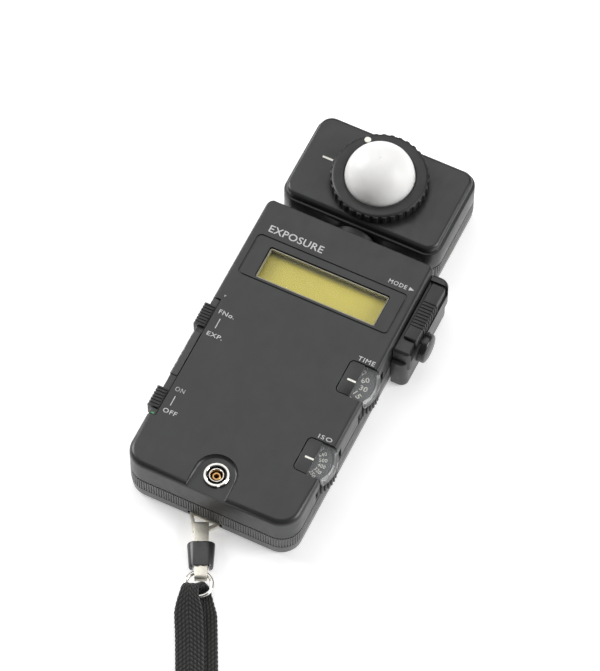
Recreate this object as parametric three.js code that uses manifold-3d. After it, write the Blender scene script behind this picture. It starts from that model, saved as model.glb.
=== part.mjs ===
// Handheld exposure meter with a swivelling sensor head, as separate bench-level pieces.
// Millimetres. +X to the right across the face, +Y from the strap end to the head, +Z out of the face.
// Places below are given from the strap end of the body (y = 0) and from its flat back (z = 0); the
// whole model is then shifted so that the origin is the middle of the body's flat back.
import * as THREE from "three";
import { mergeVertices } from "three/addons/utils/BufferGeometryUtils.js";
import Module from "manifold-3d";

const wasm = await Module();
wasm.setup();

// ---- Driving dimensions ----
const GAP = 0.3;
const FAR = 60; // reach of a cutting tool that has to pass right through

const BODY = { half: 29.1, length: 103.0, thick: 21.0, wall: 1.8, corner: 7.0, edge: 2.0, back: 1.4 };
const PARTING = 10.6; // height where the front and rear covers of the body meet
const ORIGIN_Y = 51; // middle of the body's back

const HEAD = { half: 27.45, y0: 106.6, y1: 140.0, wall: 1.6, corner: 5.0, step: 0.8, ledge: 18.3 };
const HEAD_PARTING = 9.6;
const SWIVEL = { z: 10.5, tube: 5.2, bore: 3.4, collar: 7.6, flange: 7.2 };

const DISPLAY = { x0: -20.7, x1: 21.0, y0: 75.2, y1: 87.1 };
const BEZEL = { x0: -26.3, x1: 26.0, y0: 73.8, y1: 90.0, width: 0.7, depth: 0.35, corner: 1.6 };

const DIAL = { x: 21.0, window: 10.4, wheel: 10.3, disc: 8.4, bore: 1.5, pin: 1.2 };
const DIALS = [
  { name: "time", y: 55.5 },
  { name: "speed", y: 25.5 },
];

const RECESS = { x1: -26.2, y0: 17.4, y1: 63.1, floor: 14.6 };
const STRIP = { y0: 32.7, y1: 49.9 };
const POWER = { y0: 19.9, y1: 27.2, travel: 4.0 };
const FUNCTION = { y0: 51.7, y1: 59.9, travel: 2.4 };

const HOUSING = { x0: 29.4, x1: 35.5, y0: 69.8, y1: 101.5, top: 19.5, tier: 13.9 };
const SLIDER = { y0: 76.7, y1: 98.3 };
const BUTTON = { y: 80.7, z: 10.3, cap: 4.8, face: 38.3 };

const SYNC = { x: -0.2, y: 7.3, rim: 4.15, tube: 3.6 };
const ARCH = { x: -0.5, y: 7.2, half: 7.0, depth: 1.0 };

const CELL = { x: -13.5, z: 9.4, r: 7.15, y0: 20.0, y1: 69.0 };
const DOOR = { x0: -21.4, x1: -5.6, y0: 16.0, y1: 73.5, travel: 2.5 };

const RING = { y: 123.3, outer: 15.7, z0: 21.4, top: 25.3 };
const DOME = { r: 11.2, inner: 9.7, z: 24.4 };

const BODY_SCREWS = [
  [-24.3, 7.0],
  [24.3, 7.0],
  [-24.3, 95.5],
  [24.3, 95.5],
];
const HEAD_SCREWS = [
  [-21.5, 123.3],
  [21.5, 123.3],
];
const SCREW = { head: 2.1, shank: 1.1, boss: 2.6, hole: 1.4 };

const LUG = { x: -1.0, hole: 3.75, base: -0.4, apex: -4.8, bar: 0.9, z0: 2.4, z1: 3.6 };
const STRAP = { x: -1.0, y: -2.15, angle: 25.9, width: 9.0, thick: 1.2 };

// ---- Materials ----
const finish = (color, roughness, metalness = 0, opacity = 1) =>
  new THREE.MeshStandardMaterial({ color, roughness, metalness, opacity, transparent: opacity < 1 });
const caseBlack = () => finish(0x3a3b3c, 0.42);
const partBlack = () => finish(0x2c2c2d, 0.5);
const steel = () => finish(0xc8c6c0, 0.22, 1);
const brass = () => finish(0xc79a4a, 0.3, 1);
const board = () => finish(0x2c5a3a, 0.6);

// ---- Solids ----
function solidFrom(geometry) {
  const bare = geometry.clone();
  bare.deleteAttribute("normal");
  bare.deleteAttribute("uv");
  const merged = mergeVertices(bare, 1e-4);
  const vertProperties = merged.attributes.position.array;
  const triVerts = new Uint32Array(merged.index.array);
  return new wasm.Manifold(new wasm.Mesh({ numProp: 3, vertProperties, triVerts }));
}

function geometryFrom(solid) {
  const mesh = solid.getMesh();
  const geometry = new THREE.BufferGeometry();
  geometry.setAttribute("position", new THREE.BufferAttribute(mesh.vertProperties, 3));
  geometry.setIndex(new THREE.BufferAttribute(mesh.triVerts, 1));
  geometry.computeVertexNormals();
  return geometry;
}

const join = (first, ...rest) =>
  geometryFrom(rest.reduce((sum, g) => sum.add(solidFrom(g)), solidFrom(first)));
const cut = (base, ...tools) =>
  geometryFrom(tools.reduce((left, g) => left.subtract(solidFrom(g)), solidFrom(base)));

function box(x0, x1, y0, y1, z0, z1) {
  const geometry = new THREE.BoxGeometry(x1 - x0, y1 - y0, z1 - z0);
  return geometry.translate((x0 + x1) / 2, (y0 + y1) / 2, (z0 + z1) / 2);
}

// Rectangle with round corners; the four radii run bottom left, bottom right, top right, top left.
function roundRect(x0, x1, y0, y1, radii) {
  const [a, b, c, d] = Array.isArray(radii) ? radii : [radii, radii, radii, radii];
  const shape = new THREE.Shape();
  shape.moveTo(x0 + a, y0);
  shape.lineTo(x1 - b, y0);
  if (b > 0) shape.absarc(x1 - b, y0 + b, b, -Math.PI / 2, 0);
  shape.lineTo(x1, y1 - c);
  if (c > 0) shape.absarc(x1 - c, y1 - c, c, 0, Math.PI / 2);
  shape.lineTo(x0 + d, y1);
  if (d > 0) shape.absarc(x0 + d, y1 - d, d, Math.PI / 2, Math.PI);
  shape.lineTo(x0, y0 + a);
  if (a > 0) shape.absarc(x0 + a, y0 + a, a, Math.PI, 1.5 * Math.PI);
  return shape;
}

// Upright slab of a shape from z0 to z1, with both its rims rounded by `edge`.
function slab(shape, z0, z1, edge = 0, curveSegments = 5) {
  const geometry = new THREE.ExtrudeGeometry(shape, {
    depth: z1 - z0 - 2 * edge,
    curveSegments,
    bevelEnabled: edge > 0,
    bevelThickness: edge,
    bevelSize: edge,
    bevelOffset: -edge,
    bevelSegments: 2,
  });
  return geometry.translate(0, 0, z0 + edge);
}

function cylinderZ(x, y, r, z0, z1, segments = 24) {
  const geometry = new THREE.CylinderGeometry(r, r, z1 - z0, segments);
  return geometry.rotateX(Math.PI / 2).translate(x, y, (z0 + z1) / 2);
}

function cylinderY(x, z, r, y0, y1, segments = 24) {
  const geometry = new THREE.CylinderGeometry(r, r, y1 - y0, segments);
  return geometry.translate(x, (y0 + y1) / 2, z);
}

function cylinderX(y, z, r, x0, x1, segments = 24) {
  const geometry = new THREE.CylinderGeometry(r, r, x1 - x0, segments);
  return geometry.rotateZ(Math.PI / 2).translate((x0 + x1) / 2, y, z);
}

// Solid of revolution about Y from [radius, height] pairs; it closes on itself off the axis.
function turned(profile, segments = 32) {
  const points = profile.map(([r, h]) => new THREE.Vector2(r, h));
  if (profile[0][0] > 0) points.push(points[0].clone());
  return new THREE.LatheGeometry(points, segments);
}

const turnedZ = (profile, x, y, segments) =>
  turned(profile, segments).rotateX(Math.PI / 2).translate(x, y, 0);

// Round wire wound on an axis along Y, with its radius going from r0 to r1.
function coil(r0, r1, height, turns, wire) {
  class Winding extends THREE.Curve {
    getPoint(t, target = new THREE.Vector3()) {
      const angle = t * turns * 2 * Math.PI;
      const r = r0 + (r1 - r0) * t;
      return target.set(r * Math.cos(angle), t * height, r * Math.sin(angle));
    }
  }
  const section = new THREE.Shape().absarc(0, 0, wire / 2, 0, 2 * Math.PI);
  return new THREE.ExtrudeGeometry(section, {
    steps: Math.round(turns * 12),
    curveSegments: 3,
    bevelEnabled: false,
    extrudePath: new Winding(),
  });
}

function node(name, geometry, material) {
  const mesh = new THREE.Mesh(geometry, material);
  mesh.name = name;
  return mesh;
}

// ---- Body covers ----
const bodyOutline = () => roundRect(-BODY.half, BODY.half, 0, BODY.length + 10, BODY.corner);
const bodyInside = () =>
  roundRect(
    -BODY.half + BODY.wall,
    BODY.half - BODY.wall,
    BODY.wall,
    BODY.length - BODY.wall,
    [BODY.corner - BODY.wall, BODY.corner - BODY.wall, 0, 0],
  );
const beyondTop = () => box(-FAR, FAR, BODY.length, BODY.length + 20, -5, 30);
const neckHole = () => cylinderY(0, SWIVEL.z, SWIVEL.tube + GAP, 99, BODY.length + 1);
const switchHole = () => box(26.9, 30, BUTTON.y - 3.5, BUTTON.y + 3.5, 7.3, 13.5);

function displayOpening() {
  return slab(roundRect(DISPLAY.x0, DISPLAY.x1, DISPLAY.y0, DISPLAY.y1, 0.8), 18, 22, 0, 2);
}

function bezelGroove() {
  const { x0, x1, y0, y1, width, depth, corner } = BEZEL;
  const shape = roundRect(x0, x1, y0, y1, corner);
  shape.holes.push(roundRect(x0 + width, x1 - width, y0 + width, y1 - width, corner - width));
  return slab(shape, BODY.thick - depth, BODY.thick + 1, 0, 3);
}

// Opening in the face and edge for a dial window, and the slot in the side wall for its wheel.
function dialOpening(y) {
  return slab(roundRect(19.5, 33, y - 6.2, y + 6.25, [1.6, 0, 0, 1.6]), 15.8, 22, 0, 3);
}
const wheelSlot = (y) => box(26, 31, y - 9, y + 9, PARTING - 2, 16.1);

function archRecess() {
  const shape = new THREE.Shape();
  shape.moveTo(ARCH.x - ARCH.half, -3);
  shape.lineTo(ARCH.x + ARCH.half, -3);
  shape.lineTo(ARCH.x + ARCH.half, ARCH.y);
  shape.absarc(ARCH.x, ARCH.y, ARCH.half, 0, Math.PI);
  return slab(shape, BODY.thick - ARCH.depth, BODY.thick + 1, 0, 12);
}

// Slot through which a side switch's tongue reaches its contact board.
const tongueSlot = (knob) => {
  const middle = (knob.y0 + knob.y1) / 2;
  return box(-29.5, -24, middle - 1.8, middle + 1.8 + knob.travel, 16.0, 17.6);
};

function frontCover() {
  const shell = cut(
    slab(bodyOutline(), PARTING - 6, BODY.thick, BODY.edge),
    box(-FAR, FAR, -5, 130, -5, PARTING + GAP / 2),
    beyondTop(),
    slab(bodyInside(), PARTING - 2, BODY.thick - BODY.wall, 0, 3),
  );
  const bosses = BODY_SCREWS.map(([x, y]) => cylinderZ(x, y, SCREW.boss, 3.3, 19.6, 16));
  const gutter = box(-28.6, -24.6, 15.8, 64.7, 12.8, 19.6);
  const socketPad = cylinderZ(SYNC.x, SYNC.y, 6.8, 17.4, 19.6);
  return cut(
    join(shell, gutter, socketPad, ...bosses),
    ...BODY_SCREWS.map(([x, y]) => cylinderZ(x, y, SCREW.hole, 2, 13, 12)),
    box(-FAR, RECESS.x1, RECESS.y0, RECESS.y1, RECESS.floor, 24),
    tongueSlot(POWER),
    tongueSlot(FUNCTION),
    archRecess(),
    cylinderZ(SYNC.x, SYNC.y, SYNC.tube + 0.35, 15, 22),
    displayOpening(),
    bezelGroove(),
    ...DIALS.flatMap(({ y }) => [dialOpening(y), wheelSlot(y)]),
    neckHole(),
    switchHole(),
  );
}

function rearCover() {
  const shell = cut(
    slab(bodyOutline(), 0, PARTING + 6, BODY.back),
    box(-FAR, FAR, -5, 130, PARTING - GAP / 2, 30),
    beyondTop(),
    slab(bodyInside(), BODY.wall, 30, 0, 3),
  );
  const pads = BODY_SCREWS.map(([x, y]) => cylinderZ(x, y, 3.4, 1.2, 3.0, 16));
  const cellWalls = [-22.4, -5.6].map((x) => box(x, x + 1, 15, 71, 1.4, 9));
  return cut(
    join(shell, ...pads, ...cellWalls),
    ...BODY_SCREWS.flatMap(([x, y]) => [
      cylinderZ(x, y, SCREW.head + GAP, -1, 1.6, 16),
      cylinderZ(x, y, SCREW.hole, -1, 4, 12),
    ]),
    box(DOOR.x0 - GAP, DOOR.x1 + GAP, DOOR.y0 - DOOR.travel - GAP, DOOR.y1 + GAP, -1, 1.25),
    box(DOOR.x0 - 1.2, DOOR.x1 + 1.2, DOOR.y0 - DOOR.travel - GAP, DOOR.y1 + GAP, 0.4, 1.25),
    box(CELL.x - 7.4, CELL.x + 7.4, 17, 71, -1, 3),
    box(LUG.x - 5.9, LUG.x + 5.9, -2, 3, LUG.z0 - GAP, LUG.z1 + GAP),
    neckHole(),
    switchHole(),
  );
}

function caseScrews() {
  return BODY_SCREWS.map(([x, y], i) => {
    const head = cylinderZ(x, y, SCREW.head, 0.3, 1.3, 16);
    const shank = cylinderZ(x, y, SCREW.shank, 1.1, 11, 12);
    return node(`case_screw_${i + 1}`, join(head, shank), steel());
  });
}

// ---- Display stack and circuit board ----
function displayParts() {
  const { x0, x1, y0, y1 } = DISPLAY;
  const pane = slab(roundRect(x0 + GAP, x1 - GAP, y0 + GAP, y1 - GAP, 0.6), 18.5, 20.6, 0, 2);
  const flange = box(x0 - 2, x1 + 2, y0 - 1.6, y1 + 1.6, 18.0, 18.9);
  const holder = cut(
    box(-24.2, 24.2, 72.0, 90.2, 8.0, 17.6),
    box(-22.8, 23.1, 73.5, 88.8, 15.3, 20),
    box(-18, 18, 76, 86, 5, 20),
  );
  return [
    node("display_window", join(pane, flange), finish(0xe8e4c8, 0.08, 0, 0.35)),
    node("display_panel", box(-22.5, 22.8, 73.8, 88.5, 15.6, 17.7), finish(0xb7b06a, 0.35)),
    node("display_holder", holder, partBlack()),
  ];
}

function circuitBoard() {
  const shape = new THREE.Shape();
  shape.moveTo(-4.2, 14);
  shape.lineTo(26, 14);
  shape.lineTo(26, 92);
  shape.lineTo(-24, 92);
  shape.lineTo(-24, 72.4);
  shape.lineTo(-4.2, 72.4);
  return node("main_circuit_board", slab(shape, 6.0, 7.6), board());
}

// ---- Thumbwheel dials ----
// Clear window with an opaque left part: its right rim follows the dial and stands out of the side.
function dialWindow(y) {
  const outline = new THREE.Shape();
  outline.moveTo(19.8 + 1.3, y - 5.9);
  const reach = Math.asin(5.9 / DIAL.window);
  outline.absarc(DIAL.x, y, DIAL.window, -reach, reach);
  outline.lineTo(19.8 + 1.3, y + 5.95);
  outline.absarc(19.8 + 1.3, y + 4.65, 1.3, Math.PI / 2, Math.PI);
  outline.lineTo(19.8, y - 4.6);
  outline.absarc(19.8 + 1.3, y - 4.6, 1.3, Math.PI, 1.5 * Math.PI);
  const plate = slab(outline, 19.5, 20.8, 0, 6);
  const skirt = cut(
    slab(outline, 16.2, 19.7, 0, 6),
    cylinderZ(DIAL.x, y, DIAL.window - 1.2, 15, 19.5, 40),
    box(10, 29.4, y - 10, y + 10, 15, 19.5),
  );
  const clips = [y - 4.9, y + 2.5].flatMap((from) => [
    box(17.6, 21.4, from, from + 2.4, 18.2, 18.9),
    box(20.2, 21.4, from, from + 2.4, 18.2, 19.7),
  ]);
  return join(plate, skirt, ...clips);
}

function dialParts({ name, y }) {
  const x = DIAL.x;
  const disc = cut(cylinderZ(x, y, DIAL.disc, 17.1, 17.6, 40), cylinderZ(x, y, DIAL.bore, 16, 19, 12));
  const wheel = cut(
    join(cylinderZ(x, y, DIAL.wheel, 11.0, 15.6, 48), cylinderZ(x, y, 6, 11.0, 16.8)),
    cylinderZ(x, y, DIAL.bore, 10, 18, 12),
  );
  const pin = join(cylinderZ(x, y, DIAL.pin, 7.9, 18.4, 12), cylinderZ(x, y, 2.0, 17.9, 18.6, 12));
  const wafer = cut(cylinderZ(x, y, 5.9, 7.9, 10.5), cylinderZ(x, y, DIAL.bore, 7, 11, 12));
  return {
    fixed: [
      node(`${name}_dial_window`, dialWindow(y), finish(0xdfe2e0, 0.1, 0, 0.35)),
      node(`${name}_dial_pin`, pin, steel()),
      node(`${name}_dial_switch`, wafer, finish(0x6a4a2c, 0.6)),
    ],
    turning: [
      node(`${name}_scale_disc`, disc, finish(0x6f7274, 0.5)),
      node(`${name}_dial_wheel`, wheel, partBlack()),
    ],
  };
}

// ---- Side switches ----
// Guide rail that fills the recess in the cover's left edge: flush in the middle, lower under the knobs.
function switchRail() {
  const { x1, y0, y1, floor } = RECESS;
  const outer = -29.0;
  const side = [y0 + GAP, y1 - GAP];
  const blank = slab(roundRect(outer, x1 - GAP, side[0], side[1], 0), floor + GAP, 20.9, 0);
  const lowered = (a, b) => [box(-40, -28.2, a, b, 10, 24), box(-40, -20, a, b, 20.1, 24)];
  const roundedEdge = box(-1, 1, -FAR, FAR, -1, 1).rotateY(Math.PI / 4).translate(outer, 40, 20.9);
  return cut(
    blank,
    roundedEdge,
    ...lowered(y0 + GAP + 0.3, STRIP.y0),
    ...lowered(STRIP.y1, y1 - GAP - 0.3),
    tongueSlot(POWER),
    tongueSlot(FUNCTION),
  );
}

function slideKnob(knob) {
  const middle = (knob.y0 + knob.y1) / 2;
  return join(
    box(-30.3, -26.6, knob.y0, knob.y1, 20.4, 21.5),
    box(-30.3, -28.5, knob.y0, knob.y1, 15.4, 21.5),
    box(-29.0, -24.0, middle - 1.4, middle + 1.4, 16.4, 17.2),
  );
}

// ---- Housing on the right side, with the mode slider and the measuring button ----
function sideHousing() {
  const { x0, x1, y0, y1, top, tier } = HOUSING;
  const lower = slab(roundRect(x0, x1 - 0.9, y0, y1, [0, 2.2, 3.0, 0]), 0.6, tier, 0.5, 4);
  const upper = slab(roundRect(x0, x1, y0 + 1.2, y1 - 0.2, [0, 1.6, 3.0, 0]), 10, top, 1.2, 4);
  const track = [
    box(x0 - 1, x1 + 1, y0 + 2.0, SLIDER.y1 + 0.5, 18.3, 22),
    box(34.1, x1 + 1, y0 + 2.0, SLIDER.y1 + 0.5, 15.0, 22),
  ];
  return cut(
    join(lower, upper),
    ...track,
    box(x0 - 1, 33.8, y0 + 1.6, y1 - 1.7, 2.2, 17.0),
    box(31.0, 33.0, 80.6, 91.2, 15, 20),
    cylinderX(BUTTON.y, BUTTON.z, BUTTON.cap + GAP, 33, 37),
  );
}

function modeSlider() {
  const cap = slab(roundRect(30.2, 35.2, SLIDER.y0, SLIDER.y1, 0.9), 15.5, 19.9, 0.5, 2);
  const hollow = box(29, 34.4, SLIDER.y0 - 1, SLIDER.y1 + 1, 14, 18.6);
  const stem = box(31.4, 32.6, 86.6, 90.8, 16.6, 18.8);
  return join(cut(cap, hollow), stem);
}

function measuringButton() {
  const profile = [
    [0, 30.9],
    [1.6, 30.9],
    [1.6, 32.7],
    [5.9, 32.7],
    [5.9, 33.4],
    [BUTTON.cap, 33.4],
    [BUTTON.cap, BUTTON.face - 1.3],
    [4.5, BUTTON.face - 0.7],
    [3.6, BUTTON.face - 0.25],
    [2.0, BUTTON.face - 0.05],
    [0, BUTTON.face],
  ];
  return turned(profile, 28).rotateZ(-Math.PI / 2).translate(0, BUTTON.y, BUTTON.z);
}

function buttonParts() {
  const spring = coil(3.0, 3.0, 2.4, 3, 0.45).rotateZ(-Math.PI / 2);
  const microswitch = join(
    box(24.7, 28.6, BUTTON.y - 3, BUTTON.y + 3, 7.9, 13.0),
    cylinderX(BUTTON.y, BUTTON.z, 0.8, 28.4, 29.3, 12),
  );
  return {
    button: node("measuring_button", measuringButton(), finish(0x55565a, 0.3)),
    spring: node("button_spring", spring.translate(29.75, BUTTON.y, BUTTON.z), steel()),
    microswitch: node("button_microswitch", microswitch, partBlack()),
  };
}

// ---- Flash sync terminal ----
function syncParts() {
  const { x, y, rim, tube } = SYNC;
  const shell = [
    [1.0, 12.0],
    [tube, 12.0],
    [tube, 20.3],
    [rim, 20.3],
    [rim, 20.9],
    [3.1, 20.9],
    [3.1, 13.0],
    [1.0, 13.0],
  ];
  const ring = (inner, outer, z0, z1) => [
    [inner, z0],
    [outer, z0],
    [outer, z1],
    [inner, z1],
  ];
  const nut = cut(cylinderZ(x, y, 5.2, 15.0, 17.0, 6), cylinderZ(x, y, tube + 0.35, 14, 18));
  return [
    node("sync_socket_shell", turnedZ(shell, x, y, 28), steel()),
    node("sync_inner_tube", turnedZ(ring(1.95, 2.45, 15.3, 20.6), x, y, 24), steel()),
    node("sync_insulator", turnedZ(ring(0.9, 2.8, 13.3, 15.0), x, y, 24), finish(0xd8d2c2, 0.6)),
    node("sync_contact", turnedZ(ring(0.7, 1.45, 15.3, 19.8), x, y, 20), brass()),
    node("sync_nut", nut, steel()),
  ];
}

// ---- Battery ----
function batteryParts() {
  const { x, z, r, y0, y1 } = CELL;
  const cell = join(cylinderY(x, z, r, y0, y1, 28), cylinderY(x, z, 2.6, y1 - 0.5, y1 + 1.0, 16));
  const spring = coil(5.0, 2.2, 3.0, 3, 0.6).translate(x, 16.3, z);
  const plate = join(box(x - 4.5, x + 4.5, 70.4, 70.9, 3, 15), box(x - 2, x + 8.5, 70.4, 70.9, 10, 12));
  return [
    node("battery_cell", cell, finish(0x8b6f3a, 0.35, 0.4)),
    node("battery_spring", spring, steel()),
    node("battery_contact_plate", plate, steel()),
  ];
}

function batteryDoor() {
  const { x0, x1, y0, y1 } = DOOR;
  return join(box(x0, x1, y0, y1, 0.12, 1.0), box(x0 - 0.9, x1 + 0.9, y0, y1, 0.7, 1.0));
}

// ---- Swivelling head ----
function swivelParts() {
  const { z, tube, bore, collar, flange } = SWIVEL;
  const bush = [
    [bore, 97.0],
    [tube, 97.0],
    [tube, BODY.length + GAP],
    [collar, BODY.length + GAP],
    [collar, 106.3],
    [tube, 106.3],
    [tube, 109.1],
    [flange, 109.1],
    [flange, 110.4],
    [bore, 110.4],
  ];
  const ring = [
    [tube + GAP, 99.3],
    [flange, 99.3],
    [flange, 100.9],
    [tube + GAP, 100.9],
  ];
  return [
    node("swivel_bush", turned(bush, 28).translate(0, 0, z), partBlack()),
    node("swivel_retaining_ring", turned(ring, 28).translate(0, 0, z), brass()),
  ];
}

const headOutline = (inset) =>
  roundRect(
    -HEAD.half + inset,
    HEAD.half - inset,
    HEAD.y0 + inset,
    HEAD.y1 - inset,
    HEAD.corner - inset,
  );
const headNeckHole = () => cylinderY(0, SWIVEL.z, SWIVEL.tube + GAP, 106, 109);

function headFrontCover() {
  const skirt = slab(headOutline(0), HEAD_PARTING - 4, HEAD.ledge, 0.5);
  const plateau = slab(headOutline(HEAD.step), HEAD_PARTING - 4, BODY.thick, 1.4);
  const shell = cut(
    join(skirt, plateau),
    box(-FAR, FAR, 100, 150, -5, HEAD_PARTING + GAP / 2),
    slab(headOutline(HEAD.wall + 0.6), HEAD_PARTING - 2, BODY.thick - 1.8, 0, 3),
  );
  const bosses = HEAD_SCREWS.map(([x, y]) => cylinderZ(x, y, 2.5, 3.3, 19.6, 16));
  return cut(
    join(shell, ...bosses),
    ...HEAD_SCREWS.map(([x, y]) => cylinderZ(x, y, SCREW.hole, 2, 12, 12)),
    cylinderZ(0, RING.y, 5.8, 18, 22),
    headNeckHole(),
  );
}

function headRearCover() {
  const shell = cut(
    slab(headOutline(0), 0, HEAD_PARTING + 6, BODY.back),
    box(-FAR, FAR, 100, 150, HEAD_PARTING - GAP / 2, 30),
    slab(headOutline(HEAD.wall), BODY.wall, 30, 0, 3),
  );
  const pads = HEAD_SCREWS.map(([x, y]) => cylinderZ(x, y, 3.4, 1.2, 3.0, 16));
  return cut(
    join(shell, ...pads),
    ...HEAD_SCREWS.flatMap(([x, y]) => [
      cylinderZ(x, y, SCREW.head + GAP, -1, 1.6, 16),
      cylinderZ(x, y, SCREW.hole, -1, 4, 12),
    ]),
    headNeckHole(),
  );
}

function headScrews() {
  return HEAD_SCREWS.map(([x, y], i) => {
    const head = cylinderZ(x, y, SCREW.head, 0.3, 1.3, 16);
    const shank = cylinderZ(x, y, SCREW.shank, 1.1, 10, 12);
    return node(`head_screw_${i + 1}`, join(head, shank), steel());
  });
}

// Sector of a flat ring, centred on the given angle in degrees.
function sector(r0, r1, degrees, width, z0, z1) {
  const from = THREE.MathUtils.degToRad(degrees - width / 2);
  const to = THREE.MathUtils.degToRad(degrees + width / 2);
  const shape = new THREE.Shape();
  shape.absarc(0, 0, r1, from, to);
  shape.absarc(0, 0, r0, to, from, true);
  return slab(shape, z0, z1, 0, 4).translate(0, RING.y, 0);
}

const LUG_ANGLES = [90, 210, 330];
const UNLOCK = 48; // degrees that the diffuser turns to bring its notches over the lugs

function sensorParts() {
  const wall = turnedZ(
    [
      [12.7, 21.3],
      [13.4, 21.3],
      [13.4, 23.4],
      [12.7, 23.4],
    ],
    0,
    RING.y,
    40,
  );
  const lugs = LUG_ANGLES.map((a) => sector(13.1, 14.3, a, 30, 22.6, 23.4));
  return [
    node("bayonet_mount_ring", join(wall, ...lugs), steel()),
    node("sensor_filter", cylinderZ(0, RING.y, 5.4, 19.4, 20.6), finish(0x9db6b4, 0.1, 0, 0.5)),
    node("sensor_cell", cylinderZ(0, RING.y, 4.5, 17.5, 19.0), finish(0x2b2f4a, 0.3, 0.2)),
    node("sensor_board", box(-12, 12, 113, 134, 15.4, 17.0), board()),
  ];
}

function diffuserRing() {
  const profile = [
    [13.75, RING.z0],
    [RING.outer, RING.z0],
    [RING.outer, 24.9],
    [15.2, RING.top],
    [11.5, RING.top],
    [11.5, 23.75],
    [14.6, 23.75],
    [14.6, 22.25],
    [13.75, 22.25],
  ];
  const notches = LUG_ANGLES.map((a) => sector(13.0, 14.7, a - UNLOCK, 36, 21, 22.5));
  return cut(turnedZ(profile, 0, RING.y, 48), ...notches);
}

function diffuserDome() {
  const arc = (r, from, to) =>
    Array.from({ length: 7 }, (_, i) => {
      const angle = from + ((to - from) * i) / 6;
      return [r * Math.cos(angle), DOME.z + r * Math.sin(angle)];
    });
  const inside = arc(DOME.inner, Math.PI / 2, 0);
  const outside = arc(DOME.r, 0, Math.PI / 2);
  inside[0][0] = 0;
  outside[6][0] = 0;
  const foot = [
    [DOME.inner, 22.8],
    [12.4, 22.8],
    [12.4, 23.4],
    [DOME.r, 23.4],
  ];
  return turnedZ([...inside, ...foot, ...outside], 0, RING.y, 32);
}

// ---- Strap ----
// Stamped triangular loop whose root is held between ribs inside the rear cover.
function strapLug() {
  const { x, hole, base, apex, bar, z0, z1 } = LUG;
  const outer = new THREE.Shape();
  outer.moveTo(x - hole - 1.3, 1.0);
  outer.lineTo(x - hole - 1.3, base);
  outer.lineTo(x - 1.2, apex - bar);
  outer.lineTo(x + 1.2, apex - bar);
  outer.lineTo(x + hole + 1.3, base);
  outer.lineTo(x + hole + 1.3, 1.0);
  const opening = new THREE.Shape();
  opening.moveTo(x - hole, base);
  opening.lineTo(x, apex);
  opening.lineTo(x + hole, base);
  const loop = cut(slab(outer, z0, z1), slab(opening, z0 - 1, z1 + 1));
  const root = join(box(x - 4, x + 4, 0.9, 4.2, z0, z1), box(x - 5.2, x + 5.2, 3.2, 4.2, z0, z1));
  return node("strap_lug", join(loop, root), steel());
}

// The pieces from here on are modelled along -Y from the tab's fold, and swing with it.
const TAB_END = -19.0;
const RING_AT = { x: -0.6, y: -20.4, z: 3.0, r: 4.1, wire: 1.3 };

function strapTab() {
  const loop = cut(
    box(-2.2, 2.2, TAB_END, 0.5, 1.3, 4.7),
    box(-3, 3, TAB_END + 0.7, -0.5, 2.0, 4.0),
  );
  const narrowed = [-3, 1.5].map((x) => box(x, x + 1.5, TAB_END - 1, -15.3, 0, 6));
  const besideNeck = [-3.2, 1.3].map((x) => box(x, x + 1.9, -0.6, 1, 2.0, 4.0));
  return node("strap_tab", cut(loop, ...narrowed, ...besideNeck), steel());
}

function strapSleeve() {
  const tube = new THREE.CylinderGeometry(4.4, 3.8, 8.2, 24).scale(1, 1, 0.6);
  const slot = box(-2.5, 2.5, -30, 0, 1.0, 5.0);
  return node("strap_sleeve", cut(tube.translate(0, -10.9, 3.05), slot), partBlack());
}

function strapRing() {
  const { x, y, z, r, wire } = RING_AT;
  const ring = new THREE.TorusGeometry(r, wire / 2, 8, 28).translate(x, y, z);
  return node("strap_ring", ring, steel());
}

// Webbing loop: along the table under the ring, round at its far end, and back over the ring.
const WEBBING_ROUTE = [
  [0.6, -21.4, 0.95],
  [0.6, -28, 0.95],
  [0.9, -40, 0.95],
  [0.9, -60.1, 0.95],
  [-1.9, -85.1, 0.95],
  [-7.8, -109.6, 0.95],
  [-16.5, -133.2, 0.95],
  [-25.5, -154.4, 0.95],
  [-31.5, -167, 0.95],
  [-35.1, -175.3, 1.3],
  [-37.1, -180.4, 3.2],
  [-37.6, -181.8, 5.6],
  [-36.7, -179.5, 7.6],
  [-34.4, -173.4, 7.4],
  [-30.5, -162.1, 4.6],
  [-25.9, -147.7, 2.5],
  [-20.3, -131.7, 2.5],
  [-12.1, -108.3, 2.5],
  [-6.2, -84.3, 2.5],
  [-3.3, -59.8, 2.5],
  [-3.2, -40, 2.6],
  [-3.6, -30, 3.8],
  [-3.6, -25, 4.65],
  [-3.6, -21.4, 4.65],
];

function wristStrap() {
  const { width, thick } = STRAP;
  const a = thick / 2;
  const b = width / 2;
  const section = new THREE.Shape();
  section.moveTo(a, b - 0.4);
  section.lineTo(a - 0.3, b);
  section.lineTo(0.3 - a, b);
  section.lineTo(-a, b - 0.4);
  section.lineTo(-a, 0.4 - b);
  section.lineTo(0.3 - a, -b);
  section.lineTo(a - 0.3, -b);
  section.lineTo(a, 0.4 - b);
  const route = new THREE.CatmullRomCurve3(WEBBING_ROUTE.map((p) => new THREE.Vector3(...p)));
  const webbing = new THREE.ExtrudeGeometry(section, {
    steps: 60,
    bevelEnabled: false,
    extrudePath: route,
  });
  return node("wrist_strap", webbing, finish(0x262625, 0.9));
}

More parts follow.
